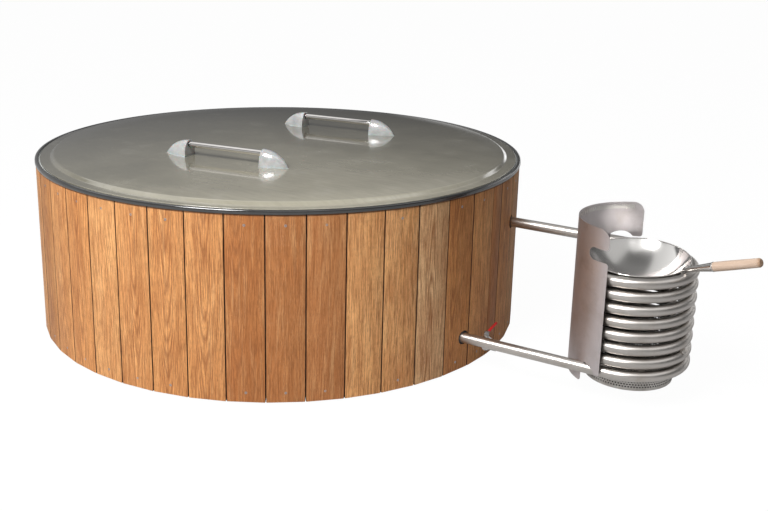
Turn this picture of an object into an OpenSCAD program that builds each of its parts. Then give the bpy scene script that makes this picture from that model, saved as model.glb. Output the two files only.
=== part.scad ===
// Round wooden hot tub with a lift-off lid, an outside fire coil, its heat shield, fire basket and wok.
// The origin is on the tub's axis at the ground, +X runs from the tub to the stove, and +Z is up.
// Sizes are in millimetres.

/* [Tub wall] */
// Outer radius of the black edge trim
rim_r = 970; // [900:5:1060]
// Length of every wall stave
stave_h = 655; // [600:5:760]
// Thickness of every wall stave
stave_t = 20; // [16:1:24]
// Number of full-width staves
stave_count = 45; // [40:5:50]
// Open joint between two staves
stave_gap = 2.5; // [1:0.5:5]
// Part of the wall that the narrow closing stave fills, in degrees
closing_angle = 4.3; // [3:0.1:5]
// Direction in which the closing stave lies, in degrees from the stove
closing_azimuth = 0.5; // [-1:0.5:2]
// Gap between the staves and the ground
ground_gap = 6; // [4:1:10]
// Distance of the upper screws from the staves' upper end
screw_drop = 36; // [28:1:44]
// Distance of the lower screws from the staves' lower end
screw_rise = 34; // [26:1:40]
// Radius of a stave screw's head
screw_head_r = 4.5; // [3.5:0.5:6]

/* [Frame and shell] */
// Height of the bearers under the floor
bearer_h = 30; // [24:1:36]
// Width of a bearer
bearer_w = 60; // [50:5:90]
// Distance between two bearers
bearer_step = 350; // [300:10:380]
// Thickness of the floor deck
deck_t = 12; // [9:1:15]
// Radial thickness of the two wooden hoops
hoop_t = 24; // [20:1:28]
// Height of the lower hoop
lower_hoop_h = 54; // [46:1:58]
// Height of the upper hoop
upper_hoop_h = 74; // [60:1:90]
// Number of posts between the hoops
post_count = 10; // [8:2:12]
// Width of a post
post_w = 60; // [40:5:70]
// Wall of the moulded inner shell
shell_t = 6; // [4:1:8]
// Gap between the inner shell and the hoops
shell_gap = 27; // [22:1:40]
// Outer radius of the corner between the shell's wall and floor
shell_corner = 30; // [20:2:34]

/* [Edge trim and lid] */
// Height of the black edge trim
trim_h = 16; // [14:1:20]
// Width of the black edge trim
trim_w = 15; // [12:1:18]
// Amount by which the trim stands out past the staves' corners
trim_overhang = 2.5; // [1:0.5:6]
// Thickness of the lid's skin
lid_t = 5; // [4:1:7]
// Height of the lid's raised middle above its flange
lid_rise = 16; // [10:1:24]
// Width of the lid's flat flange
lid_flange_w = 38; // [30:1:60]
// Width of the sloping step inside the flange
lid_step_w = 20; // [14:1:30]
// Depth of the lip that keeps the lid in the tub's mouth
lid_lip_h = 38; // [20:1:60]
// Thickness of the rubber seal under the lid
seal_t = 2; // [1:0.5:4]
// Turn of both handles about their middles, in degrees
handle_turn = 7; // [0:1:15]
// Distance from the lid's middle to the middle of each handle
handle_y = 383; // [300:1:480]
// Distance from the lid's middle to each end face of a handle
handle_half = 163; // [130:1:190]
// Middle of both handles along the lid
handle_x = 15; // [0:1:30]
// Length of a handle fin
fin_l = 105; // [80:1:130]
// Width of a handle fin
fin_w = 68; // [56:1:90]
// Height of a handle fin
fin_h = 62; // [54:1:80]
// Radius of the steel grip bar
grip_bar_r = 11; // [8:0.5:14]
// Height of the grip bar above the lid
grip_bar_z = 45; // [40:1:48]
// Depth of the bar's socket in a fin
fin_socket = 14; // [8:1:20]

/* [Stove] */
// Distance from the tub's rim to the coil's axis
stove_dist = 535; // [510:5:650]
// Radius of the coil's centre line, and the pipes' distance from the middle plane
coil_r = 186; // [175:1:200]
// Outer radius of the steel tube
tube_r = 19; // [16:0.5:20]
// Wall of the steel tube
tube_wall = 2; // [1.5:0.5:3]
// Number of whole turns of the coil, to which the half turn between the pipes is added
coil_turns = 7; // [5:1:8]
// Rise of one turn
coil_pitch = 46.8; // [42:0.2:50]
// Height of the lower pipe's axis
lower_pipe_z = 125; // [115:1:140]
// Straight lead at each end of the coil
coil_lead = 38; // [38:1:60]
// Wall of the fire basket
basket_wall = 1.5; // [1:0.5:3]
// Gap between the fire basket and the coil's tube
basket_gap = 15; // [13:1:30]
// Height of the fire basket's floor
basket_z = 61; // [50:1:80]
// Height of the fire basket
basket_h = 200; // [150:5:240]

/* [Heat shield] */
// Inner radius of the heat shield
shield_r = 220; // [218:1:240]
// Sheet thickness of the heat shield
shield_t = 1.5; // [1:0.5:3]
// Gap between the coil and the shield on the tub's side
shield_gap = 3; // [1:0.5:6]
// Height of the shield's lower edge
shield_z = 72; // [60:1:80]
// Height of the shield's upper edge above the upper pipe's axis
shield_top = 151; // [120:1:180]
// Azimuth of the shield's front edge, seen from the shield's own axis
shield_front = 102.5; // [101:0.5:106]
// Azimuth of the shield's back edge
shield_back = 107; // [104:0.5:110]
// Height of the front notch
notch_h = 43; // [30:1:50]
// Height of the front notch's middle above the upper pipe's axis
notch_rise = 60; // [55:1:66]

/* [Wok] */
// How much smaller the wok's rim is than the coil's centre line
wok_inset = 12; // [8:1:20]
// Depth of the wok
wok_depth = 92; // [80:1:110]
// Sheet thickness of the wok
wok_t = 1.5; // [1:0.5:2.5]
// Radius of the wok's rolled rim
wok_bead = 2; // [1.5:0.5:2.5]
// Tilt of the wok, which follows the coil's rising top turn, in degrees
wok_tilt = 5; // [3:0.5:6]
// Direction of the wok's handle, in degrees from +X
wok_handle_az = -15; // [-25:1:-10]
// Rise of the wok's handle, in degrees
wok_handle_rise = 21; // [18:1:30]
// Length of the handle's steel ferrule, from the rim
ferrule_l = 114; // [90:1:120]
// Length of the handle's wooden grip
wok_grip_l = 165; // [150:5:220]
// Radius of the wooden grip
wok_grip_r = 16; // [13:0.5:18]

/* [Drain valve] */
// Height of the drain's axis
drain_z = 93; // [92:1:96]
// Distance of the drain from the middle plane, toward the front
drain_y = 118; // [110:1:130]
// Radius of the drain's pipe thread
port_r = 15.1; // [13:0.1:16]
// Radius of the drain's bore
drain_bore_r = 12.5; // [10:0.5:12.5]
// Radius of the valve's ball
ball_r = 17; // [16.5:0.5:18]
// Length of the valve body
valve_l = 80; // [76:1:90]
// Length of the lever, from its stem to its end
lever_l = 88; // [70:1:120]
// Rise of the lever, in degrees
lever_rise = 9; // [5:1:15]

/* [Hidden] */
$fn = 48;

eps = 0.01;             // overlap that joins two shapes of one solid
cut = 1;                // how far a cutting shape runs past the face that it cuts
fit_gap = 0.3;          // gap between two pieces that lie loosely on each other
group_size = stave_count / 9;

// Wall
wood_r = rim_r - trim_overhang;
stave_pitch = (360 - closing_angle) / stave_count;
stave_face = wood_r * cos(stave_pitch / 2);
stave_back = stave_face - stave_t;
stave_top = ground_gap + stave_h;
upper_screw_z = stave_top - screw_drop;
lower_screw_z = ground_gap + screw_rise;
screw_shank_r = screw_head_r / 2;
screw_l = stave_t + hoop_t * 2 / 3;
hoop_fit = 0.2;         // gap between the hoops and the staves
hoop_out = stave_back - hoop_fit;
hoop_in = hoop_out - hoop_t;
flange_z = stave_top + 3;
lower_hoop_z = bearer_h + deck_t - hoop_t - 6;
lower_hoop_top = lower_hoop_z + lower_hoop_h;
upper_hoop_z = flange_z - upper_hoop_h;

// Shell and lid
wall_out = hoop_in - shell_gap;
wall_in = wall_out - shell_t;
floor_z = bearer_h + deck_t;
trim_in = rim_r - trim_w;
flange_r = rim_r - trim_w / 2;
trim_z = stave_top + fit_gap;
trim_round = 5;         // rounding of the trim's corners
seal_z = flange_z + shell_t;
lid_z = seal_z + seal_t;
lid_r = trim_in - 4;
step_out = lid_r - lid_flange_w;
step_in = step_out - lid_step_w;
lid_top = lid_z + lid_t + lid_rise;
lip_r = wall_in - 7;    // the lip's outer radius, clear of the shell's mouth
lip_t = 5;

// Stove
coil_x = rim_r + stove_dist;
basket_r = coil_r - tube_r - basket_gap;
collar_w = 10;          // width of the basket's collar
shield_x = coil_x + shield_r - coil_r - tube_r - shield_gap;
upper_pipe_z = lower_pipe_z + (coil_turns + 0.5) * coil_pitch;
coil_end_x = coil_x - coil_lead;
tube_bore_r = tube_r - tube_wall;
pipe_in_x = sqrt(pow(wall_in, 2) - pow(coil_r, 2)) - 16;
grommet_r = tube_r + 7;
seal_sleeve_r = tube_r + 3;
seal_flange_r = tube_r + 14;
seal_flange_t = 4;
strainer_r = tube_r + 4;
strainer_l = 16;
basket_seat_z = lower_pipe_z + 25;
shield_top_z = upper_pipe_z + shield_top;

// Drain valve
valve_out = 38;         // from the rim to the ball's centre
valve_x = rim_r + valve_out;
valve_x0 = valve_x - valve_l / 2;
valve_x1 = valve_x + valve_l / 2;
port_l = 16;
drain_fit = 0.6;        // gap round the drain's stem in the shell and the staves
ball_gap = 0.3;         // gap between the ball and its seats
housing_r = ball_r + 10;
hex_r = port_r + 8;
stem_r = 5;
stem_fit = 0.05;        // running clearance round the stem
gland_z = drain_z + housing_r + 3;
gland_h = 8;
lever_z = gland_z + gland_h + fit_gap;
lever_t = 3;
lever_w = 7;
lever_hub_r = 9;        // radius of the lever's round end on the stem
lever_flat = 14;
lever_nut_h = 5;
sleeve_tip = 3;         // how far the sleeve runs past the steel lever's end
stem_key = 3;           // how deep the stem sits in the ball
seat_r = ball_r - 2;    // radius of the seats' pocket, and half its length
drain_flange_r = 24;
drain_in_r = wall_in - 4;       // radius of the drain flange's inner face
gasket_out = wall_out + 3;      // radius of the gasket's outer face

// ---------------------------------------------------------------- shared shapes

// A ring about the tub's axis
module ring(r_in, r_out, z0, z1) {
    translate([0, 0, z0]) difference() {
        cylinder(r = r_out, h = z1 - z0, $fn = 180);
        translate([0, 0, -cut]) cylinder(r = r_in, h = z1 - z0 + 2 * cut, $fn = 180);
    }
}

// A rod along X from x0 to x1
module rod_x(r, x0, x1) {
    translate([x0, 0, 0]) rotate([0, 90, 0]) cylinder(r = r, h = x1 - x0);
}

// A hexagonal bar along X, whose corners are at radius r
module hex_x(r, x0, x1) {
    translate([x0, 0, 0]) rotate([0, 90, 0]) cylinder(r = r, h = x1 - x0, $fn = 6);
}

// The children moved to the lower pipe's axis and to the upper pipe's axis
module at_lower_pipe() { translate([0, -coil_r, lower_pipe_z]) children(); }
module at_upper_pipe() { translate([0, coil_r, upper_pipe_z]) children(); }
module at_both_pipes() {
    at_lower_pipe() children();
    at_upper_pipe() children();
}
module at_drain() { translate([0, -drain_y, drain_z]) children(); }
module at_valve() { translate([valve_x, -drain_y, drain_z]) children(); }

// A flat rectangle with round corners, made of exact arcs
module round_rect(w, h, r) {
    translate([r, 0]) square([w - 2 * r, h]);
    translate([0, r]) square([w, h - 2 * r]);
    for (x = [r, w - r], y = [r, h - r]) translate([x, y]) circle(r);
}

// ---------------------------------------------------------------- floor and frame

module base_bearers() {
    bearer_inset = 20;
    color("#6b5a45")
    for (k = [-2:2]) {
        y = k * bearer_step;
        half = sqrt(pow(hoop_in - bearer_inset, 2) - pow(abs(y) + bearer_w / 2, 2));
        translate([-half, y - bearer_w / 2, 0]) cube([2 * half, bearer_w, bearer_h]);
    }
}

module floor_deck() {
    color("#a98f68") translate([0, 0, bearer_h])
        cylinder(r = hoop_in - fit_gap, h = deck_t, $fn = 180);
}

module lower_hoop() {
    color("#a07c4f") difference() {
        ring(hoop_in, hoop_out, lower_hoop_z, lower_hoop_top);
        all_screws(lower_screw_z);
    }
}

module upper_hoop() {
    color("#a07c4f") difference() {
        ring(hoop_in, hoop_out, upper_hoop_z, flange_z);
        all_screws(upper_screw_z);
    }
}

module hoop_posts() {
    post_t = hoop_t - 1;        // so that a flat post's outer corners stay inside the hoops
    color("#b08a5a")
    for (k = [0:post_count - 1]) rotate([0, 0, (k + 0.5) * 360 / post_count])
        translate([hoop_in, -post_w / 2, lower_hoop_top])
            cube([post_t, post_w, upper_hoop_z - lower_hoop_top]);
}

// ---------------------------------------------------------------- inner shell and edge trim

// Half of a tub-shaped section: a flat bottom at z0, a round corner and a straight side up to z1
module tub_half(x, z0, z1, corner) {
    translate([0, z0]) square([x - corner, z1 - z0]);
    translate([0, z0 + corner]) square([x, z1 - z0 - corner]);
    translate([x - corner, z0 + corner]) circle(corner);
}

module shell_profile() {
    difference() {
        tub_half(wall_out, floor_z, seal_z, shell_corner);
        tub_half(wall_in, floor_z + shell_t, seal_z + cut, shell_corner - shell_t);
    }
    translate([wall_in + shell_t / 2, flange_z]) square([flange_r - wall_in - shell_t / 2, shell_t]);
}

module inner_shell() {
    color("#d8dcd8") difference() {
        rotate_extrude($fn = 180) shell_profile();
        at_both_pipes() rod_x(seal_sleeve_r, wall_in / 2, rim_r);
        at_drain() rod_x(port_r + drain_fit, wall_in / 2, rim_r);
    }
}

module edge_trim() {
    color("#1b1b1c") rotate_extrude($fn = 180) difference() {
        translate([trim_in, trim_z]) round_rect(trim_w, trim_h, trim_round);
        translate([trim_in - cut, flange_z]) square([flange_r - trim_in + cut, shell_t]);
    }
}

// ---------------------------------------------------------------- wall staves and their screws

function stave_azimuth(i) = closing_azimuth + closing_angle / 2 + (i + 0.5) * stave_pitch;

// Half-width of a stave that fills the given angle, at a given distance from the axis
function stave_half(angle, face, x) = (x * wood_r * sin(angle / 2) / face) - stave_gap / 2;

module board(angle) {
    face = wood_r * cos(angle / 2);
    back = face - stave_t;
    outer_half = stave_half(angle, face, face);
    inner_half = stave_half(angle, face, back);
    translate([0, 0, ground_gap]) linear_extrude(stave_h) polygon([
        [back, -inner_half], [face, -outer_half], [face, outer_half], [back, inner_half]
    ]);
}

// A countersunk screw along -X whose head is flush with a face at the given distance
module stave_screw(face, z) {
    head_h = 3;
    edge_h = 0.6;
    translate([face, 0, z]) rotate([0, -90, 0]) rotate_extrude($fn = 24) polygon([
        [0, 0], [screw_head_r, 0], [screw_head_r, edge_h],
        [screw_shank_r, head_h], [screw_shank_r, screw_l], [0, screw_l]
    ]);
}

module all_screws(z) {
    for (i = [0:stave_count - 1]) rotate([0, 0, stave_azimuth(i)]) stave_screw(stave_face, z);
    rotate([0, 0, closing_azimuth]) stave_screw(wood_r * cos(closing_angle / 2), z);
}

module stave(i) {
    az = stave_azimuth(i);
    near_stove = cos(az) > 0.94;
    difference() {
        rotate([0, 0, az]) board(stave_pitch);
        rotate([0, 0, az]) {
            stave_screw(stave_face, upper_screw_z);
            stave_screw(stave_face, lower_screw_z);
        }
        if (near_stove) {
            at_both_pipes() rod_x(grommet_r, stave_back / 2, rim_r + cut);
            at_drain() rod_x(port_r + drain_fit, stave_back / 2, rim_r + cut);
        }
    }
}

stave_tones = [
    "#b98956", "#c79a66", "#a8713d", "#bd8a55", "#c48f58", "#b07a45", "#9d6a3c", "#bb8650", "#c2935f"
];

module stave_group(g) {
    color(stave_tones[g])
    for (i = [g * group_size:(g + 1) * group_size - 1]) stave(i);
}

module closing_stave() {
    face = wood_r * cos(closing_angle / 2);
    color("#8f6038") rotate([0, 0, closing_azimuth]) difference() {
        board(closing_angle);
        stave_screw(face, upper_screw_z);
        stave_screw(face, lower_screw_z);
    }
}

module upper_stave_screws() { color("#8c9198") all_screws(upper_screw_z); }
module lower_stave_screws() { color("#8c9198") all_screws(lower_screw_z); }

// ---------------------------------------------------------------- lid

module lid_profile() {
    skin_z = lid_top - lid_t;
    bend = lid_t;       // run of the skin's inner face at each end of the step
    polygon([
        [0, lid_top], [step_in, lid_top], [step_out, lid_z + lid_t], [lid_r, lid_z + lid_t], [lid_r, lid_z],
        [step_out - bend, lid_z], [step_in - bend, skin_z], [lip_r, skin_z], [lip_r, seal_z - lid_lip_h],
        [lip_r - lip_t, seal_z - lid_lip_h], [lip_r - lip_t, skin_z], [0, skin_z]
    ]);
}

module lid() {
    color("#8f918a") difference() {
        rotate_extrude($fn = 180) lid_profile();
        on_lid() for (side = [-1, 1]) at_handle(side) bolt_holes();
    }
}

module lid_seal() {
    inset = 6;
    color("#2a2a2a") ring(step_out + inset, lid_r - inset, seal_z, lid_z);
}

// The children lifted to the lid's top, and moved to one handle's middle and turned with it
module on_lid() { translate([0, 0, lid_top]) children(); }
module at_handle(side) { translate([handle_x, side * handle_y, 0]) rotate([0, 0, handle_turn]) children(); }

// A handle fin that points along +X, with its flat face at x = 0
module fin_body() {
    nose = 3;           // height of the fin's tip
    crown = 1;          // how far the end view's arch would stand out past the other two outlines
    side_arc = (pow(fin_l, 2) + pow(fin_h - nose, 2)) / (2 * (fin_h - nose));
    plan_arc = (pow(fin_l, 2) + pow(fin_w / 2, 2)) / fin_w;
    arch_r = fin_w / 2 + crown;
    arch_z = fin_h + crown - arch_r;
    intersection() {
        // seen from the side: an arc from the tip up to the top of the face
        rotate([90, 0, 0]) linear_extrude(fin_w, center = true) intersection() {
            translate([0, fin_h - side_arc]) circle(side_arc, $fn = 96);
            square([fin_l + cut, fin_h]);
        }
        // seen from above: a pointed arch
        linear_extrude(fin_h + cut) intersection() {
            translate([0, plan_arc - fin_w / 2]) circle(plan_arc, $fn = 96);
            translate([0, fin_w / 2 - plan_arc]) circle(plan_arc, $fn = 96);
            translate([0, -fin_w]) square([fin_l + cut, 2 * fin_w]);
        }
        // seen from the end: a round-topped arch
        rotate([90, 0, 90]) linear_extrude(fin_l + cut) union() {
            translate([-arch_r, 0]) square([2 * arch_r, arch_z]);
            translate([0, arch_z]) circle(arch_r);
        }
    }
}

module grip_bar_shape() {
    translate([0, 0, grip_bar_z]) rod_x(grip_bar_r, -handle_half - fin_socket, handle_half + fin_socket);
}

// The bolts come up through the lid's skin into the fins, two in each fin
bolt_r = 4;
bolt_l = 24;
bolt_places = [0.2, 0.55];      // shares of the fin's length, from its flat face
module at_handle_bolts() {
    for (turn = [0, 180], place = bolt_places) rotate([0, 0, turn])
        translate([handle_half + place * fin_l, 0, -lid_t]) children();
}
module bolt_holes() { at_handle_bolts() translate([0, 0, -cut]) cylinder(r = bolt_r, h = bolt_l + cut); }

module fin(side, turn) {
    color("#d9dcdc") on_lid() at_handle(side) difference() {
        rotate([0, 0, turn]) translate([handle_half, 0, 0]) fin_body();
        grip_bar_shape();
        bolt_holes();
    }
}

module grip_bar(side) { color("#c9c5c0") on_lid() at_handle(side) grip_bar_shape(); }

module handle_bolts() {
    head_h = 5;
    head_r = bolt_r + 3;
    color("#9aa0a6") on_lid() for (side = [-1, 1]) at_handle(side) at_handle_bolts() {
        cylinder(r = bolt_r, h = bolt_l);
        translate([0, 0, -head_h]) cylinder(r = head_r, h = head_h, $fn = 6);
    }
}

// ---------------------------------------------------------------- pipes and coil

module pipe() {
    difference() {
        rod_x(tube_r, pipe_in_x, coil_end_x);
        rod_x(tube_bore_r, pipe_in_x - cut, coil_end_x + cut);
    }
}
module upper_pipe() { color("#c9c4bd") at_upper_pipe() pipe(); }
module lower_pipe() { color("#c9c4bd") at_lower_pipe() pipe(); }

// The coil starts at the lower pipe, on the front side, and rises anticlockwise to the upper pipe
coil_steps = 24;        // rings in one turn
coil_sides = 6;         // sides of the faceted tube
coil_slope = atan(coil_pitch / (2 * PI * coil_r));
coil_rings = coil_steps * coil_turns + coil_steps / 2;

function coil_point(k) =
    let (a = -90 + k * 360 / coil_steps)
    [coil_x + coil_r * cos(a), coil_r * sin(a), lower_pipe_z + coil_pitch * k / coil_steps];
coil_points = [for (k = [0:coil_rings]) coil_point(k)];

// A point on the straight stretches between the rings
function coil_chord(k) =
    let (i = min(floor(k), coil_rings - 1)) coil_points[i] + (k - i) * (coil_points[i + 1] - coil_points[i]);

// A ring of corners round the coil's centre line, with the straight leads as its first and last rings.
// One corner of each ring points straight up.
function coil_ring(k) =
    let (
        inside = max(0, min(coil_rings, k)),
        lead = k == inside ? 0 : coil_lead,
        a = -90 + inside * 360 / coil_steps,
        slope = lead > 0 ? 0 : coil_slope,
        out = [cos(a), sin(a), 0],
        down = [-sin(slope) * sin(a), sin(slope) * cos(a), -cos(slope)],
        centre = coil_point(inside) - [lead, 0, 0]
    )
    [for (s = [0:coil_sides - 1])
        let (b = (s + 0.5) * 360 / coil_sides) centre + tube_r * (cos(b) * out + sin(b) * down)];

// The coil's tube without its bore, so that its collision can be split into pieces
module coil() {
    rings = coil_rings + 3;
    last = (rings - 1) * coil_sides;
    function corner(k, s) = k * coil_sides + (s % coil_sides);
    faces = [
        for (k = [0:rings - 2], s = [0:coil_sides - 1])
            let (a = corner(k, s), b = corner(k, s + 1), c = corner(k + 1, s + 1), d = corner(k + 1, s))
            each [[a, c, b], [a, d, c]],
        for (s = [1:coil_sides - 2]) each [[0, s, s + 1], [last, last + s + 1, last + s]]
    ];
    echo(least_gap_between_turns = min([
        for (i = [0:coil_rings], j = [i + coil_steps / 2:coil_rings]) norm(coil_points[i] - coil_points[j])
    ]) - 2 * tube_r);
    color("#bdb7af")
        polyhedron(points = [for (k = [-1:coil_rings + 1]) each coil_ring(k)], faces = faces, convexity = 12);
}

// A flat plate that lies on the outer side of the coil's second turn and is welded to it
module coil_lug() {
    lug_l = 44;
    lug_w = 20;
    lug_top = tube_r + 3.5;
    foot = tube_r * cos(180 / coil_sides) - 0.5;    // a little inside the faceted tube's side
    k = coil_steps + 5.5;
    color("#bdb7af") translate(coil_chord(k)) rotate([0, 0, -90 + k * 360 / coil_steps])
        rotate([coil_slope, 180 / coil_sides, 0])
            translate([-lug_w / 2, -lug_l / 2, foot]) cube([lug_w, lug_l, lug_top - foot]);
}

// A black rubber ring that fills the hole in the staves round each pipe
module pipe_grommets() {
    color("#151516") at_both_pipes_clipped() difference() {
        rod_x(grommet_r, hoop_in, rim_r);
        rod_x(tube_r, hoop_in - cut, rim_r + cut);
    }
}
module at_both_pipes_clipped() {
    recess = 2;         // how far the rings lie behind the staves' faces
    intersection() {
        at_both_pipes() children();
        ring(hoop_in, stave_face - recess, 0, stave_top);
    }
}

// A rubber seal that grips the shell's wall round each pipe, with a lip on both faces of the wall
module pipe_seals() {
    color("#202022") for (k = [0, 1]) difference() {
        intersection() {
            if (k == 0) at_lower_pipe() rod_x(seal_flange_r, wall_in / 2, rim_r);
            else at_upper_pipe() rod_x(seal_flange_r, wall_in / 2, rim_r);
            ring(wall_in - seal_flange_t, wall_out + seal_flange_t, 0, stave_top);
        }
        difference() {
            ring(wall_in, wall_out, -cut, stave_top + cut);
            at_both_pipes() rod_x(seal_sleeve_r, wall_in / 2, rim_r + cut);
        }
        at_both_pipes() rod_x(tube_r, wall_in / 2 - cut, rim_r + cut);
    }
}

// A slotted cap over the mouth of each pipe inside the bath
module pipe_strainers() {
    cap_t = 4;
    overlap = 6;        // how far the cap reaches over the pipe's end
    slot_w = 3;
    slot_h = tube_bore_r * 1.4;
    slot_step = 6.5;
    color("#b9bdbf") at_both_pipes() translate([pipe_in_x + overlap, 0, 0]) difference() {
        rod_x(strainer_r, -strainer_l - overlap, 0);
        rod_x(tube_r, -overlap, cut);
        rod_x(tube_bore_r, cap_t - strainer_l - overlap, cut);
        for (k = [-2:2]) translate([-strainer_l - overlap - cut, k * slot_step - slot_w / 2, -slot_h / 2])
            cube([cap_t + 2 * cut, slot_w, slot_h]);
    }
}

// ---------------------------------------------------------------- drain and its ball valve

module drain_fitting() {
    color("#b9bdbf") difference() {
        union() {
            at_drain() rod_x(port_r, wall_in / 2, valve_x0 + port_l);
            intersection() {
                at_drain() rod_x(drain_flange_r, wall_in / 2, rim_r);
                ring(drain_in_r, wall_in, 0, stave_top);
            }
        }
        at_drain() rod_x(drain_bore_r, wall_in / 2, valve_x1);
        // the inner end follows the shell's wall
        cylinder(r = drain_in_r, h = stave_top, $fn = 180);
    }
}

module drain_gasket() {
    color("#202022") difference() {
        intersection() {
            at_drain() rod_x(drain_flange_r, wall_in / 2, rim_r);
            ring(wall_out, gasket_out, 0, stave_top);
        }
        at_drain() rod_x(port_r, wall_in / 2, rim_r);
    }
}

module drain_locknut() {
    nut_h = 9;
    nut_x = sqrt(pow(gasket_out, 2) - pow(drain_y - hex_r, 2)) + fit_gap;
    color("#b9bdbf") at_drain() difference() {
        hex_x(hex_r, nut_x, nut_x + nut_h);
        rod_x(port_r, nut_x - cut, nut_x + nut_h + cut);
    }
}

module valve_body() {
    hex_l = port_l + 4;
    neck_r = hex_r - 3;
    gland_r = 9;
    color("#c2c5c6") difference() {
        union() {
            at_drain() hex_x(hex_r, valve_x0, valve_x0 + hex_l);
            at_drain() hex_x(hex_r, valve_x1 - hex_l, valve_x1);
            at_drain() rod_x(neck_r, valve_x0 + port_l, valve_x1 - port_l);
            at_valve() sphere(r = housing_r);
            at_valve() cylinder(r = gland_r, h = gland_z - drain_z);
        }
        at_drain() rod_x(port_r, valve_x0 - cut, valve_x0 + port_l);
        at_drain() rod_x(port_r, valve_x1 - port_l, valve_x1 + cut);
        at_drain() rod_x(drain_bore_r, valve_x0, valve_x1);
        at_drain() rod_x(seat_r, valve_x - seat_r, valve_x + seat_r);
        at_valve() sphere(r = ball_r + ball_gap);
        at_valve() cylinder(r = stem_r + stem_fit, h = gland_z);
    }
}

module valve_seats() {
    color("#eceae4") difference() {
        at_drain() rod_x(seat_r, valve_x - seat_r, valve_x + seat_r);
        at_drain() rod_x(drain_bore_r, valve_x0, valve_x1);
        at_valve() sphere(r = ball_r + ball_gap);
    }
}

module valve_gland_nut() {
    nut_r = 11;
    color("#c2c5c6") translate([valve_x, -drain_y, gland_z]) difference() {
        cylinder(r = nut_r, h = gland_h, $fn = 6);
        translate([0, 0, -cut]) cylinder(r = stem_r + stem_fit, h = gland_h + 2 * cut);
    }
}

// The ball's bore lies across the drain, which is the closed position
module valve_ball() {
    color("#d0d2d3") at_valve() difference() {
        sphere(r = ball_r);
        rotate([90, 0, 0]) cylinder(r = drain_bore_r, h = 3 * ball_r, center = true);
        translate([0, 0, ball_r - stem_key]) cylinder(r = stem_r, h = ball_r);
    }
}

module valve_stem() {
    stem_z0 = drain_z + ball_r - stem_key;
    stem_z1 = lever_z + lever_t + lever_nut_h + 1;
    color("#c2c5c6") translate([valve_x, -drain_y, stem_z0]) cylinder(r = stem_r, h = stem_z1 - stem_z0);
}

module lever_arm(w, t, y0, y1) { translate([-w / 2, y0, 0]) cube([w, y1 - y0, t]); }

// The lever's side, flat at the stem and then rising
module lever_side() {
    l = lever_l - lever_flat - sleeve_tip;
    rise = [cos(lever_rise), sin(lever_rise)];
    up = [-rise.y, rise.x];
    bend = [lever_flat, 0];
    polygon([
        [stem_r + 1, 0], bend, bend + l * rise, bend + l * rise + lever_t * up,
        bend + [-lever_t * tan(lever_rise / 2), lever_t], [stem_r + 1, lever_t]
    ]);
}

module valve_lever() {
    color("#b4b8ba") translate([valve_x, -drain_y, lever_z]) difference() {
        union() {
            cylinder(r = lever_hub_r, h = lever_t);
            translate([-lever_w / 2, 0, 0]) rotate([90, 0, 90]) linear_extrude(lever_w) lever_side();
        }
        translate([0, 0, -cut]) cylinder(r = stem_r, h = lever_t + 2 * cut);
    }
}

// A red plastic sleeve over the rising part of the lever
module lever_sleeve() {
    wall = 1;
    start = 4;
    l = lever_l - lever_flat;
    w = lever_w + 2 * wall;
    color("#c4161c") translate([valve_x, -drain_y + lever_flat, lever_z]) rotate([lever_rise, 0, 0])
        difference() {
            union() {
                translate([0, 0, -wall]) lever_arm(w, lever_t + 2 * wall, start, l - w / 2);
                translate([0, l - w / 2, -wall]) cylinder(r = w / 2, h = lever_t + 2 * wall);
            }
            lever_arm(lever_w, lever_t, 0, l - sleeve_tip);
        }
}

module lever_nut() {
    nut_r = 8;
    color("#c2c5c6") translate([valve_x, -drain_y, lever_z + lever_t]) difference() {
        cylinder(r = nut_r, h = lever_nut_h, $fn = 6);
        translate([0, 0, -cut]) cylinder(r = stem_r, h = lever_nut_h + 2 * cut);
    }
}

// ---------------------------------------------------------------- heat shield

shield_out = shield_r + shield_t;
top_corner_r = 40;      // rounding of the shield's two upper corners
front_edge_x = shield_x - shield_out * cos(180 - shield_front);
back_edge_x = shield_x - shield_out * cos(180 - shield_back);

// An outline in the X-Z plane pushed through the shield's front half or back half
module through_front() {
    translate([0, -shield_r / 2, 0]) rotate([90, 0, 0]) linear_extrude(shield_r) children();
}
module through_back() {
    translate([0, 1.5 * shield_r, 0]) rotate([90, 0, 0]) linear_extrude(shield_r) children();
}

// What is cut away to round a corner at [x, z]: to_x and to_z point from the corner into the sheet.
// The circle crosses the sheet's edges instead of only touching them.
module corner_cut(x, z, r, to_x, to_z) {
    out = 0.6;
    translate([x - to_x * out, z - to_z * out]) scale([to_x, to_z]) difference() {
        translate([-cut, -cut]) square(r + cut);
        translate([r, r]) circle(r);
    }
}

// The front notch: a round-ended slot that opens at the front edge
module front_notch() {
    z = upper_pipe_z + notch_rise;
    depth = 76;
    edge = front_edge_x;
    translate([edge - depth + notch_h / 2, z]) circle(notch_h / 2);
    translate([edge - depth + notch_h / 2, z - notch_h / 2]) square([depth, notch_h]);
    corner_cut(edge, z + notch_h / 2, 14, -1, 1);
    corner_cut(edge, z - notch_h / 2, 12, -1, -1);
    corner_cut(edge, shield_top_z, top_corner_r, -1, -1);
}

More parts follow.
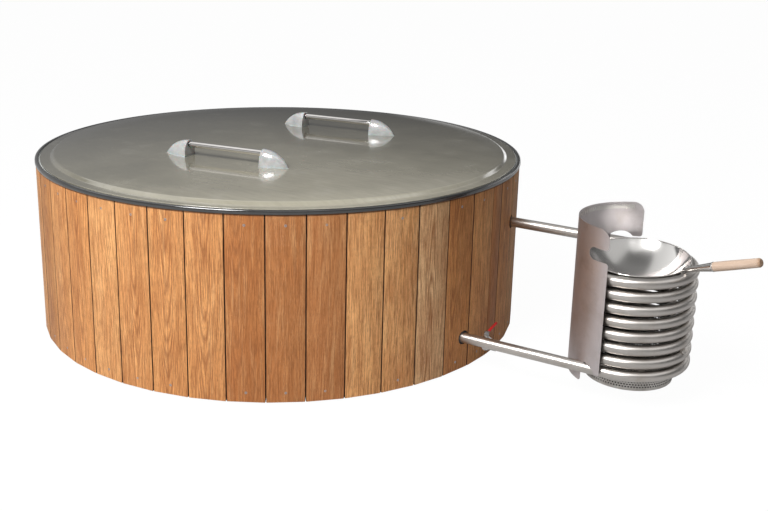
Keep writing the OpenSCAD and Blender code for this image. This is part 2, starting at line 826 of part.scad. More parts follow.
// The back notch: the upper pipe passes through it, and a lobe lies over the pipe at the sheet's edge
module back_notch() {
    edge = back_edge_x;
    z0 = upper_pipe_z - tube_r - 4;
    lobe_z = upper_pipe_z + tube_r + 4;
    end_r = 18;
    arch_r = 46;
    depth = 98;
    left = edge - depth;
    translate([left, z0 + end_r]) square([depth + 2 * cut, lobe_z - z0 - end_r]);
    translate([left + end_r, z0]) square([depth, lobe_z - z0]);
    translate([left + end_r, z0 + end_r]) circle(end_r);
    intersection() {
        translate([left + 29, lobe_z + 20.5 - arch_r]) circle(arch_r, $fn = 96);
        translate([left, lobe_z - 5]) square([depth, arch_r]);
    }
    corner_cut(edge, lobe_z, 12, -1, 1);
    corner_cut(edge, shield_top_z, top_corner_r, -1, -1);
}

// The lower notch: it sits over the lower pipe and opens downward
module lower_notch() {
    pipe_x = shield_x - sqrt(pow(shield_r, 2) - pow(coil_r, 2));
    right = front_edge_x - 17;
    polygon([
        [pipe_x - 5, shield_z - cut], [pipe_x - 5, lower_pipe_z], [pipe_x + 10, lower_pipe_z + tube_r + 5],
        [right - 12, lower_pipe_z + 9], [right, lower_pipe_z - 7],
        [front_edge_x + cut, lower_pipe_z - 7], [front_edge_x + cut, shield_z - cut]
    ]);
    corner_cut(pipe_x - 5, shield_z, 12, -1, 1);
}

// A curved band of the shield's cylinder between two radii
module shield_band(r0, r1, z0, z1, front, back) {
    translate([shield_x, 0, z0]) rotate([0, 0, back]) rotate_extrude(angle = 360 - front - back, $fn = 120)
        translate([r0, 0]) square([r1 - r0, z1 - z0]);
}

module heat_shield() {
    color("#b7b0a8") difference() {
        shield_band(shield_r, shield_out, shield_z, shield_top_z, shield_front, shield_back);
        through_front() front_notch();
        through_front() lower_notch();
        through_back() back_notch();
        at_lower_pipe() rod_x(tube_r + fit_gap, shield_x - shield_out - cut, coil_x - coil_r / 4);
    }
}

// A narrow strip welded inside the shield's upper edge
module shield_stiffener() {
    drop = 9;
    strip_h = 15;
    strip_t = 2;
    color("#a9a29b")
        shield_band(shield_r - strip_t, shield_r, shield_top_z - drop - strip_h, shield_top_z - drop,
            shield_front + 33.5, shield_back + 9);
}

// ---------------------------------------------------------------- fire basket

module at_coil() { translate([coil_x, 0, 0]) children(); }

module fire_basket() {
    color("#a8a29b") at_coil() translate([0, 0, basket_z]) difference() {
        cylinder(r = basket_r, h = basket_h, $fn = 96);
        translate([0, 0, basket_wall]) cylinder(r = basket_r - basket_wall, h = basket_h, $fn = 96);
    }
}

// A ring round the basket that rests on the brackets
module basket_collar() {
    collar_t = 3;
    color("#a8a29b") at_coil() translate([0, 0, basket_seat_z]) difference() {
        cylinder(r = basket_r + collar_w, h = collar_t, $fn = 96);
        translate([0, 0, -cut]) cylinder(r = basket_r, h = collar_t + 2 * cut, $fn = 96);
    }
}

// Three brackets whose outer ends are welded to the coil's lowest turn, and so reach a little into its tube
module basket_brackets() {
    inner = basket_r + 3;
    outer = coil_r - 6; // inside the tube's circle, so that the tube shapes the bracket's end
    w = 20;
    h = 10;
    weld = 3;
    start = -90;        // the azimuth at which the coil begins to rise
    color("#8f8982") at_coil() for (a = [60, 180, 300]) rotate([0, 0, a]) difference() {
        translate([inner, -w / 2, basket_seat_z - fit_gap - h]) cube([outer - inner, w, h]);
        translate([coil_r, 0, lower_pipe_z + coil_pitch * ((a - start) % 360) / 360])
            rotate([90, 0, 0]) cylinder(r = tube_r - weld, h = 2 * w, center = true);
    }
}

// ---------------------------------------------------------------- wok

// The wok's ball is the sphere that its bowl is part of. It is lowered until it meets the coil.
wok_r = coil_r - wok_inset;
wok_ball_r = (pow(wok_r, 2) + pow(wok_depth, 2)) / (2 * wok_depth);
wok_seat_gap = 0.5;
wok_rise = wok_ball_r - wok_depth;      // from the rim's plane up to the ball's centre
wok_reach = wok_ball_r + wok_t + tube_r + wok_seat_gap;
wok_ball_y = -wok_rise * sin(wok_tilt);
function wok_height_over(p) =
    p.z + sqrt(pow(wok_reach, 2) - pow(p.x - coil_x, 2) - pow(p.y - wok_ball_y, 2));
wok_z = max([for (k = [coil_rings - coil_steps:0.25:coil_rings]) wok_height_over(coil_chord(k))])
    - wok_rise * cos(wok_tilt);

// The children in the wok's own frame, whose origin is the middle of its rim
module at_wok() { translate([coil_x, 0, wok_z]) rotate([wok_tilt, 0, 0]) children(); }

module wok() {
    color("#cfcdca") at_wok() rotate_extrude($fn = 120) intersection() {
        translate([0, wok_rise]) difference() {
            circle(wok_ball_r + wok_t, $fn = 200);
            circle(wok_ball_r, $fn = 200);
        }
        translate([0, -wok_depth - 2 * wok_t]) square([wok_r + wok_t, wok_depth + 2 * wok_t]);
    }
}

module wok_rim() {
    color("#cfcdca") at_wok() rotate_extrude($fn = 120) difference() {
        translate([wok_r + wok_t / 2, wok_bead / 2]) circle(wok_bead);
        translate([0, wok_rise]) difference() {
            circle(wok_ball_r + wok_t, $fn = 200);
            circle(wok_ball_r, $fn = 200);
            translate([0, -wok_rise]) square(2 * wok_ball_r);
        }
    }
}

// The handle's axis starts on the rim and rises outward along +X of this frame
module along_handle() {
    root = [wok_r - 2, 0, 3];
    at_wok() rotate([0, 0, wok_handle_az]) translate(root)
        rotate([0, 90 - wok_handle_rise, 0]) children();
}

module wok_ferrule() {
    root_r = 7;
    color("#c3c1be") difference() {
        along_handle() cylinder(r1 = root_r, r2 = wok_grip_r, h = ferrule_l);
        at_wok() translate([0, 0, wok_rise]) sphere(r = wok_ball_r + wok_t, $fn = 200);
        at_wok() rotate_extrude($fn = 120) translate([wok_r + wok_t / 2, wok_bead / 2]) circle(wok_bead);
    }
}

module wok_grip() {
    end_r = wok_grip_r - 1;
    nose = 5;
    color("#d8bd97") along_handle() translate([0, 0, ferrule_l]) rotate_extrude() union() {
        polygon([[0, 0], [wok_grip_r, 0], [end_r, wok_grip_l - nose], [0, wok_grip_l - nose]]);
        translate([0, wok_grip_l - nose - eps]) square([end_r - nose, nose]);
        intersection() {
            translate([end_r - nose, wok_grip_l - nose - eps]) circle(nose);
            translate([end_r - nose, wok_grip_l - nose - eps]) square(nose);
        }
    }
}

// ---------------------------------------------------------------- what is drawn

base_bearers();
floor_deck();
lower_hoop();
upper_hoop();
hoop_posts();
inner_shell();
edge_trim();
closing_stave();
stave_group(0);  // staves_1
stave_group(1);  // staves_2
stave_group(2);  // staves_3
stave_group(3);  // staves_4
stave_group(4);  // staves_5
stave_group(5);  // staves_6
stave_group(6);  // staves_7
stave_group(7);  // staves_8
stave_group(8);  // staves_9
upper_stave_screws();
lower_stave_screws();
lid();
lid_seal();
fin(-1, 180);  // near_left_fin
fin(-1, 0);  // near_right_fin
grip_bar(-1);  // near_grip_bar
fin(1, 180);  // far_left_fin
fin(1, 0);  // far_right_fin
grip_bar(1);  // far_grip_bar
handle_bolts();
upper_pipe();
lower_pipe();
coil();
coil_lug();
pipe_grommets();
pipe_seals();
pipe_strainers();
drain_fitting();
drain_gasket();
drain_locknut();
valve_body();
valve_seats();
valve_gland_nut();
valve_ball();
valve_stem();
valve_lever();
lever_sleeve();
lever_nut();
heat_shield();
shield_stiffener();
fire_basket();
basket_collar();
basket_brackets();
wok();
wok_rim();
wok_ferrule();
wok_grip();
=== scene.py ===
"""A round board-clad hot tub with its lid on, and beside it the coil stove, heat shield and wok."""
import math

import bmesh
import bpy
from mathutils import Matrix, Vector


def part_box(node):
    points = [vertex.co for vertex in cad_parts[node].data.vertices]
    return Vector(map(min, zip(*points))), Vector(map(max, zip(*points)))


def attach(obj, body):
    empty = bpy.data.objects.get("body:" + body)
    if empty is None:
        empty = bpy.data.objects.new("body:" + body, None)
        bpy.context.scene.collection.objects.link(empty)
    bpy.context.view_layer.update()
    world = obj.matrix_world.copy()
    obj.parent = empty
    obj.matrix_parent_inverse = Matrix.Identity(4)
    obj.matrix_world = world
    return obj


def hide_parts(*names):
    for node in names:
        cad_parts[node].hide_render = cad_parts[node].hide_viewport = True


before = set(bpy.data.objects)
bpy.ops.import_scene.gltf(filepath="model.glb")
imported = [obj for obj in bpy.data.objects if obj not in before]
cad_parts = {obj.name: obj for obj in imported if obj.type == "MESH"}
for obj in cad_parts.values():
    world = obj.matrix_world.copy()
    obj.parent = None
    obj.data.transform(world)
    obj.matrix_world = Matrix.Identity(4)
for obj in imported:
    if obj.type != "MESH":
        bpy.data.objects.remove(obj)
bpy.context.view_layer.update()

# ---------------------------------------- studio
# A pale floor under a white surround, a soft lamp at the front left and a weaker one overhead. The camera stands at
# the height of a person's eyes, in front of the stove's side of the tub.
EYE = Vector((2.4221, -3.2617, 1.5436))
YAW, PITCH, ROLL = math.radians(-30.677), math.radians(14.978), math.radians(1.44)
LENS, SENSOR, LENS_SHIFT = 47.02, 36, -0.0723
right = Vector((math.cos(YAW), -math.sin(YAW), 0))
ahead = Vector((math.sin(YAW) * math.cos(PITCH), math.cos(YAW) * math.cos(PITCH), -math.sin(PITCH)))
above = right.cross(ahead)
side_axis = math.cos(ROLL) * right + math.sin(ROLL) * above
up_axis = math.cos(ROLL) * above - math.sin(ROLL) * right
camera_data = bpy.data.cameras.new("camera")
camera_data.lens, camera_data.sensor_width, camera_data.shift_y = LENS, SENSOR, LENS_SHIFT


def placed(name, data):
    """A new object of the scene."""
    made = bpy.data.objects.new(name, data)
    bpy.context.collection.objects.link(made)
    return made


camera = placed("camera", camera_data)
camera.matrix_world = Matrix.Translation(EYE) @ Matrix((side_axis, up_axis, -ahead)).transposed().to_4x4()
bpy.context.scene.camera = camera
bpy.context.scene.view_settings.view_transform = "Standard"


def lamp(name, size, watts, azimuth, elevation, distance, target):
    """A square soft lamp that stands at an angle from its target and points at it."""
    data = bpy.data.lights.new(name, "AREA")
    data.size, data.energy = size, watts
    a, e = math.radians(azimuth), math.radians(elevation)
    out = Vector((math.cos(e) * math.cos(a), math.cos(e) * math.sin(a), math.sin(e)))
    turn = out.to_track_quat("Z", "Y").to_matrix().to_4x4()
    placed(name, data).matrix_world = Matrix.Translation(Vector(target) + distance * out) @ turn


lamp("key_lamp", 2.4, 450, -92, 45, 6.5, (0.2, 0, 0.4))
lamp("fill_lamp", 2.6, 26, -60, 55, 6.0, (0.8, 0, 0.4))


class Wire:
    """One socket of a network, for use in Python expressions. Each operation adds its Math node."""

    def __init__(self, net, socket):
        self.net, self.socket = net, socket

    def __add__(self, other):
        return self.net.math("ADD", self, other)

    def __sub__(self, other):
        return self.net.math("SUBTRACT", self, other)

    def __mul__(self, other):
        return self.net.math("MULTIPLY", self, other)

    def __truediv__(self, other):
        return self.net.math("DIVIDE", self, other)

    def __rsub__(self, other):
        return self.net.math("SUBTRACT", other, self)

    def __rtruediv__(self, other):
        return self.net.math("DIVIDE", other, self)

    def __gt__(self, other):
        return self.net.math("GREATER_THAN", self, other)

    def __lt__(self, other):
        return self.net.math("LESS_THAN", self, other)

    def __abs__(self):
        return self.net.math("ABSOLUTE", self)

    __radd__ = __add__
    __rmul__ = __mul__


class Net:
    """A node tree, and the short ways in which its nodes are made."""

    def __init__(self, tree):
        self.tree = tree

    def node(self, kind, sockets=None, out=0, **settings):
        """Adds a node: its settings first, then the values or Wires of its sockets. Gives back one output."""
        made = self.tree.nodes.new(kind)
        for name, value in settings.items():
            setattr(made, name, value)
        for name, value in (sockets or {}).items():
            socket = made.inputs[name]
            if isinstance(value, Wire):
                self.tree.links.new(value.socket, socket)
            else:
                socket.default_value = (*value, 1) if socket.type == "RGBA" else value
        return Wire(self, made.outputs[out]) if made.outputs else None

    def math(self, operation, *values):
        return self.node("ShaderNodeMath", dict(enumerate(values)), operation=operation)

    def parts(self, vector):
        """The X, Y and Z of a vector, as three Wires."""
        x = self.node("ShaderNodeSeparateXYZ", {0: vector})
        return x, Wire(self, x.socket.node.outputs[1]), Wire(self, x.socket.node.outputs[2])

    def vector(self, x, y, z):
        return self.node("ShaderNodeCombineXYZ", {0: x, 1: y, 2: z})

    def place(self):
        return self.node("ShaderNodeTexCoord", out="Object")

    def stretched(self, vector, scale):
        return self.node("ShaderNodeVectorMath", {0: vector, 1: scale}, operation="MULTIPLY")

    def reach(self, x, y):
        """The length of a flat vector."""
        return self.node("ShaderNodeVectorMath", {0: self.vector(x, y, 0.0)}, "Value", operation="LENGTH")

    def noise(self, vector, scale, detail=2.0, roughness=0.5):
        sockets = {"Vector": vector, "Scale": scale, "Detail": detail, "Roughness": roughness}
        return self.node("ShaderNodeTexNoise", sockets)

    def fade(self, value, low, high, to_low=0.0, to_high=1.0):
        """A value carried from one span to another, and held at its ends."""
        sockets = {"Value": value, "From Min": low, "From Max": high, "To Min": to_low, "To Max": to_high}
        return self.node("ShaderNodeMapRange", sockets)

    def mix(self, share, first, second):
        """A blend of two colours. A colour is a Wire or three numbers."""
        return self.node("ShaderNodeMix", {0: share, 6: first, 7: second}, 2, data_type="RGBA")

    def layered(self, colour, *coats):
        """A colour with further ones over it, each given as (share, colour)."""
        for share, coat in coats:
            colour = self.mix(share, colour, coat)
        return colour

    def bump(self, height, strength, depth):
        return self.node("ShaderNodeBump", {"Height": height, "Strength": strength, "Distance": depth})

    def ray(self, kind):
        """1 where the light ray is of a kind."""
        return self.node("ShaderNodeLightPath", out=f"Is {kind} Ray")

    def surface(self, sockets):
        shader = self.node("ShaderNodeBsdfPrincipled", sockets)
        self.node("ShaderNodeOutputMaterial", {0: shader})


def new_finish(name):
    finish = bpy.data.materials.new(name)
    finish.use_nodes = True
    finish.node_tree.nodes.clear()
    return finish, Net(finish.node_tree)


# The camera sees plain white. Reflections see a studio: a grey horizon that is lighter toward the front, a faint haze
# above the back, two light panels overhead, and a lit foot and a lit box behind the stove. The rest is soft light.
world = bpy.data.worlds.new("surround")
bpy.context.scene.world = world
world.use_nodes = True
world.node_tree.nodes.clear()
net = Net(world.node_tree)
to_x, to_y, to_z = net.parts(net.node("ShaderNodeTexCoord", out="Generated"))
glossy = net.ray("Glossy")
direct = (net.ray("Camera") + glossy + net.ray("Transmission")) > 0.5
horizon = net.fade(to_x * 0.45 + to_y * 0.9, -0.6, 0.6, 0.55, 0.10) * net.fade(to_z, 0.25, 0.5, 1.0, 0.3)
haze = net.fade(to_z, 0.25, 0.5, 0.0, 0.22) * net.fade(to_y, -0.1, 0.3)
panels = net.fade(abs(to_x / to_z), 0.34, 0.42, 0.12, 1.0) * net.fade(abs(to_x / to_z), 1.5, 1.7, 1.0, 0.0)
panels = panels * net.fade(abs(to_y / to_z + 0.12), 0.75, 0.85, 1.0, 0.0) * (to_z > 0.0)
back_foot = net.fade(to_z, 0.05, 0.14, 1.0, 0.0) * net.fade(to_y, 0.6, 0.8) * net.fade(to_x, -0.5, -0.3)
back_box = net.fade(to_z, 0.28, 0.34) * net.fade(to_z, 0.40, 0.44, 1.0, 0.0) * (to_y > 0.0)
back_box = back_box * net.fade(to_x, -0.14, -0.08) * net.fade(to_x, 0.4, 0.5, 1.0, 0.0)
studio = horizon + haze + panels * (1.0 - horizon - haze) + (back_foot + back_box) * 1.5
seen = 1 - glossy * (1 - studio)
lit = net.fade(to_x * 0.75 + to_y * 0.65, -0.9, 0.9, 0.30, 0.05)
sky = net.node("ShaderNodeBackground", {0: (1, 1, 1), 1: seen * direct + lit * (1 - direct)})
net.node("ShaderNodeOutputWorld", {0: sky})

FLOOR_HALF = 40.0
floor_corners = [(x * FLOOR_HALF, y * FLOOR_HALF, 0) for x, y in ((-1, -1), (1, -1), (1, 1), (-1, 1))]
floor_mesh = bpy.data.meshes.new("floor")
floor_mesh.from_pydata(floor_corners, [], [(0, 1, 2, 3)])
floor = placed("floor", floor_mesh)
floor_finish, net = new_finish("pale_floor")
direct = net.ray("Camera") + net.ray("Transmission") + net.ray("Glossy") * 0.2
pale = net.node("ShaderNodeBsdfDiffuse", {0: (0.5, 0.5, 0.5)})
white = net.node("ShaderNodeEmission", {0: (1, 1, 1), 1: 1.05})
blend = net.node("ShaderNodeMixShader", {0: direct * 0.93, 1: pale, 2: white})
net.node("ShaderNodeOutputMaterial", {0: blend})
floor_mesh.materials.append(floor_finish)

# ---------------------------------------- floor frame and inner shell
# The bearers, deck, hoops and posts that carry the boards are plain sawn timber and plywood, and the bath itself is
# one moulded shell. The lid and the boards hide them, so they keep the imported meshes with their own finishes.


def timber(name, pale_tone, dark_tone, along, fine=1.0):
    """Sawn wood: fibres stretched along one axis, slow bands of darker late wood, and a dull surface."""
    with_grain, over_grain = 1.2, 16.0
    finish, net = new_finish(name)
    stretch = tuple(with_grain if axis == along else over_grain * fine for axis in range(3))
    place = net.stretched(net.place(), stretch)
    fibre = net.noise(place, 9.0, 5.0, 0.62)
    band = net.noise(place, 1.4, 3.0, 0.55)
    tone = net.mix(net.fade(band, 0.35, 0.68), pale_tone, dark_tone)
    tone = net.mix(net.fade(fibre, 0.30, 0.55, 0.45, 0.0), tone, tuple(c * 0.45 for c in dark_tone))
    net.surface({"Base Color": tone, "Roughness": net.fade(fibre, 0.3, 0.7, 0.78, 0.6),
                 "Specular IOR Level": 0.3, "Normal": net.bump(fibre, 0.35, 0.0006)})
    return finish


def dress(finish, *nodes):
    """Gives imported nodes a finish."""
    for node in nodes:
        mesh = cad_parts[node].data
        mesh.materials.clear()
        mesh.materials.append(finish)


dress(timber("sawn_bearers", (0.50, 0.36, 0.22), (0.33, 0.21, 0.12), 0), "base_bearers")
dress(timber("sawn_posts", (0.55, 0.38, 0.22), (0.36, 0.23, 0.12), 2), "hoop_posts")
plywood = timber("birch_plywood", (0.66, 0.50, 0.33), (0.52, 0.37, 0.22), 0, 0.5)
dress(plywood, "floor_deck", "lower_hoop", "upper_hoop")


def gelcoat(name, tone, haze):
    """A moulded glossy skin with a faint cloudiness in its colour and in its gloss."""
    finish, net = new_finish(name)
    cloud = net.noise(net.place(), 3.1, 4.0, 0.6)
    ripple = net.noise(net.place(), 9.0, 1.0)
    net.surface({"Base Color": net.mix(net.fade(cloud, 0.3, 0.7), tone, tuple(c * haze for c in tone)),
                 "Roughness": net.fade(cloud, 0.3, 0.7, 0.16, 0.24), "Coat Weight": 0.4, "Coat Roughness": 0.05,
                 "Normal": net.bump(ripple, 0.08, 0.002)})
    return finish


dress(gelcoat("shell_gelcoat", (0.72, 0.75, 0.73), 0.9), "inner_shell")

# ---------------------------------------- wall boards
# Forty-five upright boards of oiled wood and one narrow closing board stand round the tub with open joints between
# them. Each is screwed to the hoops near its ends. All come from one eased blank, turned round the axis.
MM = 0.001
WOOD_R = 967.5 * MM
CLOSING_ANGLE, CLOSING_AZIMUTH = math.radians(4.3), math.radians(0.5)
BOARD_COUNT = 45
PITCH_ANGLE = (2 * math.pi - CLOSING_ANGLE) / BOARD_COUNT
FIRST_AZIMUTH = CLOSING_AZIMUTH + CLOSING_ANGLE / 2 + PITCH_ANGLE / 2
BOARD_LOW, BOARD_TOP = 6 * MM, 661 * MM
BOARD_THICK, BOARD_GAP = 20 * MM, 2.5 * MM
EASE, EASE_CUT = 1.6 * MM, 0.464 * MM


def show(name, mesh, finish, body, nodes=(), sharp=35):
    """Makes a mesh a shown piece: smooth but for its corners, with its finish, body and what it replaces."""
    piece = bpy.data.objects.get(name) or placed(name, mesh)
    mesh.shade_smooth()
    mesh.set_sharp_from_angle(angle=math.radians(sharp))
    mesh.materials.clear()
    mesh.materials.append(finish)
    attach(piece, body)
    if nodes:
        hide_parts(*nodes)


def made_mesh(body, name):
    """A bmesh turned into a mesh."""
    mesh = bpy.data.meshes.new(name)
    body.to_mesh(mesh)
    body.free()
    return mesh


def skin(body, rings, closed=True, capped=False):
    """Four-sided faces between each ring of points and the next, and one face at either end where it is capped."""
    for low, high in zip(rings, rings[1:]):
        for k in range(len(low) if closed else len(low) - 1):
            n = (k + 1) % len(low)
            body.faces.new((low[k], low[n], high[n], high[k]))
    if capped:
        body.faces.new(rings[0][::-1])
        body.faces.new(rings[-1])


def plain(piece):
    """The piece's mesh with its modifiers worked out."""
    graph = bpy.context.evaluated_depsgraph_get()
    mesh = bpy.data.meshes.new_from_object(piece.evaluated_get(graph))
    piece.modifiers.clear()
    piece.data = mesh
    mesh.name = piece.name
    return mesh


def spun(angle, axis="Z"):
    return Matrix.Rotation(angle, 4, axis)


def moved(x, y, z):
    return Matrix.Translation((x, y, z))


def board_blank(name, angle):
    """One board with eased edges, at its true distance from the axis, across +X."""
    face = WOOD_R * math.cos(angle / 2)
    back = face - BOARD_THICK
    outer = WOOD_R * math.sin(angle / 2) - BOARD_GAP / 2
    inner = outer - BOARD_THICK * math.tan(angle / 2)
    half = [(back, inner), (face - EASE, outer), (face - EASE_CUT, outer - EASE_CUT), (face, outer - EASE)]
    outline = [(x, -y) for x, y in half] + half[::-1]
    body = bmesh.new()
    middle = Vector(((face + back) / 2, 0))
    rings = []
    for z, shrink in ((BOARD_LOW, EASE), (BOARD_LOW + EASE, 0), (BOARD_TOP - EASE, 0), (BOARD_TOP, EASE)):
        ring = []
        for x, y in outline:
            inward = (middle - Vector((x, y))).normalized() * shrink
            ring.append(body.verts.new((x + inward.x, y + inward.y, z)))
        rings.append(ring)
    skin(body, rings, capped=True)
    return placed(name, made_mesh(body, name))


def new_tree(name, **values):
    """A geometry tree with a named input for each value. Gives back its net, its input Wires and the values by
    their sockets' identifiers."""
    kinds = {float: "NodeSocketFloat", int: "NodeSocketInt", bpy.types.Object: "NodeSocketObject"}
    tree = bpy.data.node_groups.new(name, "GeometryNodeTree")
    tree.interface.new_socket("Geometry", in_out="OUTPUT", socket_type="NodeSocketGeometry")
    given = {tree.interface.new_socket(label, in_out="INPUT", socket_type=kinds[type(value)]).identifier: value
             for label, value in values.items()}
    net = Net(tree)
    first = net.node("NodeGroupInput")
    return net, {label: Wire(net, first.socket.node.outputs[label]) for label in values}, given


def grow(name, net, given, geometry, finish):
    """Ends a tree in Realize Instances and Set Material, and runs it with its values on a new object."""
    whole = net.node("GeometryNodeRealizeInstances", {0: geometry})
    coated = net.node("GeometryNodeSetMaterial", {"Geometry": whole, "Material": finish})
    net.node("NodeGroupOutput", {0: coated})
    piece = placed(name, bpy.data.meshes.new(name))
    modifier = piece.modifiers.new(name, "NODES")
    modifier.node_group = net.tree
    for key, value in given.items():
        modifier[key] = value
    return plain(piece)


def ring_of(name, blank, count, step, first, spread, finish, seed):
    """Copies of a blank turned round the upright axis, each moved by a small chance amount."""
    net, wire, given = new_tree(name, Blank=blank, Count=count, Step=step, First=first, Spread=spread)
    points = net.node("GeometryNodePoints", {"Count": wire["Count"]})
    turn = net.node("GeometryNodeInputIndex") * wire["Step"] + wire["First"]
    source = net.node("GeometryNodeObjectInfo", {"Object": wire["Blank"]}, "Geometry")
    span = {2: -1.0, 3: 1.0, "Seed": seed}
    chance = net.node("FunctionNodeRandomValue", span, 1, data_type="FLOAT")
    spots = {"Points": points, "Instance": source, "Rotation": net.vector(0.0, 0.0, turn)}
    copies = net.node("GeometryNodeInstanceOnPoints", spots)
    nudge = net.vector(chance * wire["Spread"], 0.0, 0.0)
    copies = net.node("GeometryNodeTranslateInstances", {"Instances": copies, "Translation": nudge})
    return grow(name, net, given, copies, finish)


board_finish, net = new_finish("oiled_boards")
grain = net.node("ShaderNodeAttribute", out="Vector", attribute_name="grain")
board = net.node("ShaderNodeAttribute", out="Fac", attribute_name="board")
across, deep, along = net.parts(grain)
draw = net.node("ShaderNodeTexWhiteNoise", {"W": board}, "Color", noise_dimensions="1D")
draw_a, draw_b, draw_c = net.parts(draw)
# Most boards are straight-grained: fine fibres and soft streaks up the board. Some are flat-sawn and show nested
# arches, which are parabolas about a line of their own in each board.
drift = net.noise(net.vector(across * 4.0 + board * 7.3, board * 3.1, along * 1.3), 1.0, 2.0)
bow = across + (draw_a - 0.5) * 0.07
arch = bow * bow * 950.0 + along * ((draw_b > 0.5) * 5.0 - 2.5) + drift * 3.4
arcs = net.math("PINGPONG", arch * 3.2, 0.5) * 2.0
flat_sawn = (draw_a > 0.4) * net.fade(abs(bow), 0.015, 0.055, 1.0, 0.15)
wavy = across * 62.0 + drift * 7.0 + board * 5.0
streak = net.noise(net.vector(wavy, deep * 60.0, along * 2.2), 1.0, 5.0, 0.7)
wavy = across * 430.0 + drift * 16.0 + board * 31.0
fibre = net.noise(net.vector(wavy, deep * 420.0, along * 13.0), 1.0, 5.0, 0.7)
pores = net.noise(net.vector(across * 1100.0 + board * 11.0, deep * 900.0, along * 55.0), 1.0, 2.0, 0.5)
mottle = net.noise(net.vector(across * 17.0 + board * 3.7, deep * 9.0, along * 7.0 + board), 1.0, 3.0, 0.6)
BOARD_FACE = WOOD_R * math.cos(PITCH_ANGLE / 2)
BOARD_HALF = WOOD_R * math.sin(PITCH_ANGLE / 2) - BOARD_GAP / 2
# The eased edges along the joints are painted near-black: oil dirt in the edges and painted shade of the open joints.
edge_oil_and_shade = net.fade(abs(across), BOARD_HALF - 1.8 * MM, BOARD_HALF - 0.6 * MM, 0.0, 0.92)
# The dark band painted just under the boards' tops is a painted shadow of the bead.
bead_shadow_line = net.fade(along, BOARD_TOP - 6 * MM, BOARD_TOP - 3 * MM, 0.0, 0.75)
# The board sides set back in the open joints are painted near-black: painted shade in the joints.
joint_shade = net.fade(deep, BOARD_FACE - 1.5 * MM, BOARD_FACE - 0.2 * MM, 0.95, 0.0)
honey = net.layered(
    net.mix(draw_a, (1.0, 0.54, 0.22), (0.86, 0.37, 0.115)),
    (net.fade(draw_b, 0.62, 0.72, 0.0, 0.85), (1.0, 0.69, 0.38)),
    (net.fade(draw_c, 0.66, 0.76, 0.0, 0.85), (0.50, 0.185, 0.055)),
    (net.fade(mottle, 0.32, 0.68, 0.45, 0.0), (0.50, 0.165, 0.045)),
    (net.fade(arcs, 0.3, 1.0, 0.0, 0.75) * flat_sawn, (0.34, 0.12, 0.04)),
    (net.fade(streak, 0.50, 0.72, 0.0, 0.42), (0.92, 0.57, 0.27)),
    (net.fade(streak, 0.28, 0.48, 0.5, 0.0), (0.36, 0.13, 0.04)),
    (net.fade(fibre, 0.38, 0.56, 0.8, 0.0), (0.29, 0.10, 0.03)),
    (net.fade(pores, 0.30, 0.46, 0.6, 0.0), (0.17, 0.06, 0.025)),
    (edge_oil_and_shade, (0.03, 0.012, 0.007)), (bead_shadow_line, (0.09, 0.03, 0.012)), (joint_shade, (0.022, 0.009, 0.005)))
net.surface({"Base Color": honey, "Roughness": net.fade(fibre, 0.3, 0.7, 0.64, 0.48),
             "Specular IOR Level": 0.3, "Normal": net.bump(fibre + arcs * flat_sawn * 0.25, 0.3, 0.0004)})

BOARD_SPREAD, BOARD_SEED = 0.5 * MM, 11
blank = board_blank("board_blank", PITCH_ANGLE)
ring_of("wall_boards", blank, BOARD_COUNT, PITCH_ANGLE, FIRST_AZIMUTH, BOARD_SPREAD, board_finish, BOARD_SEED)
closing = board_blank("closing_board", CLOSING_ANGLE)
closing.data.transform(spun(CLOSING_AZIMUTH))


def cutter(name, radius, y, z):
    """A plain closed rod through the wall along X, for cutting a hole."""
    body = bmesh.new()
    bmesh.ops.create_cone(body, cap_ends=True, segments=48, radius1=radius, radius2=radius, depth=CUT_TO - CUT_FROM)
    body.transform(moved((CUT_FROM + CUT_TO) / 2, y, z) @ spun(math.pi / 2, "Y"))
    return placed(name, made_mesh(body, name))


LOWER_PIPE = (-186 * MM, 125 * MM)
UPPER_PIPE = (186 * MM, 476 * MM)
DRAIN = (-118 * MM, 93 * MM)
PIPE_HOLE_R, DRAIN_HOLE_R = 26 * MM, 15.7 * MM
CUT_FROM, CUT_TO = 0.85, 1.0
boards_piece = bpy.data.objects["wall_boards"]
cutters = [cutter("lower_cutter", PIPE_HOLE_R, *LOWER_PIPE), cutter("upper_cutter", PIPE_HOLE_R, *UPPER_PIPE),
           cutter("drain_cutter", DRAIN_HOLE_R, *DRAIN)]
for rod in cutters:
    cut = boards_piece.modifiers.new("hole", "BOOLEAN")
    cut.operation, cut.solver, cut.object = "DIFFERENCE", "EXACT", rod
boards = plain(boards_piece)


def mark_grain(mesh, of_board):
    """Stores each corner's place in its own board (across, deep, along) and the board's number."""
    mesh.attributes.new("grain", "FLOAT_VECTOR", "POINT")
    mesh.attributes.new("board", "FLOAT", "POINT")
    grain, number = mesh.attributes["grain"], mesh.attributes["board"]
    for k, v in enumerate(mesh.vertices):
        i, middle = of_board(math.atan2(v.co.y, v.co.x))
        local = Matrix.Rotation(-middle, 3, "Z") @ v.co
        grain.data[k].vector = (local.y, local.x, local.z)
        number.data[k].value = i


def board_of(azimuth):
    """The number and the middle's azimuth of the full board at an azimuth."""
    i = round(((azimuth - FIRST_AZIMUTH) % (2 * math.pi)) / PITCH_ANGLE) % BOARD_COUNT
    return i, FIRST_AZIMUTH + i * PITCH_ANGLE


mark_grain(boards, board_of)
mark_grain(closing.data, lambda azimuth: (BOARD_COUNT + 3, CLOSING_AZIMUTH))
show("wall_boards", boards, board_finish, "tub", [f"staves_{k}" for k in range(1, 10)], 25)
show("closing_board", closing.data, board_finish, "tub", ["closing_stave"], 25)
for used in [blank] + cutters:
    bpy.data.objects.remove(used)

# ---------------------------------------- board screws
# Small countersunk steel screws, one near each end of every board, driven through it into a hoop. Their heads lie
# flush and have a cross recess.
SCREW_R, SCREW_LEVELS = 4.5 * MM, (625 * MM, 40 * MM)
SCREW_SPREAD, SCREW_SEED = 0.1 * MM, 5
STRAIGHT = math.radians(89.4)


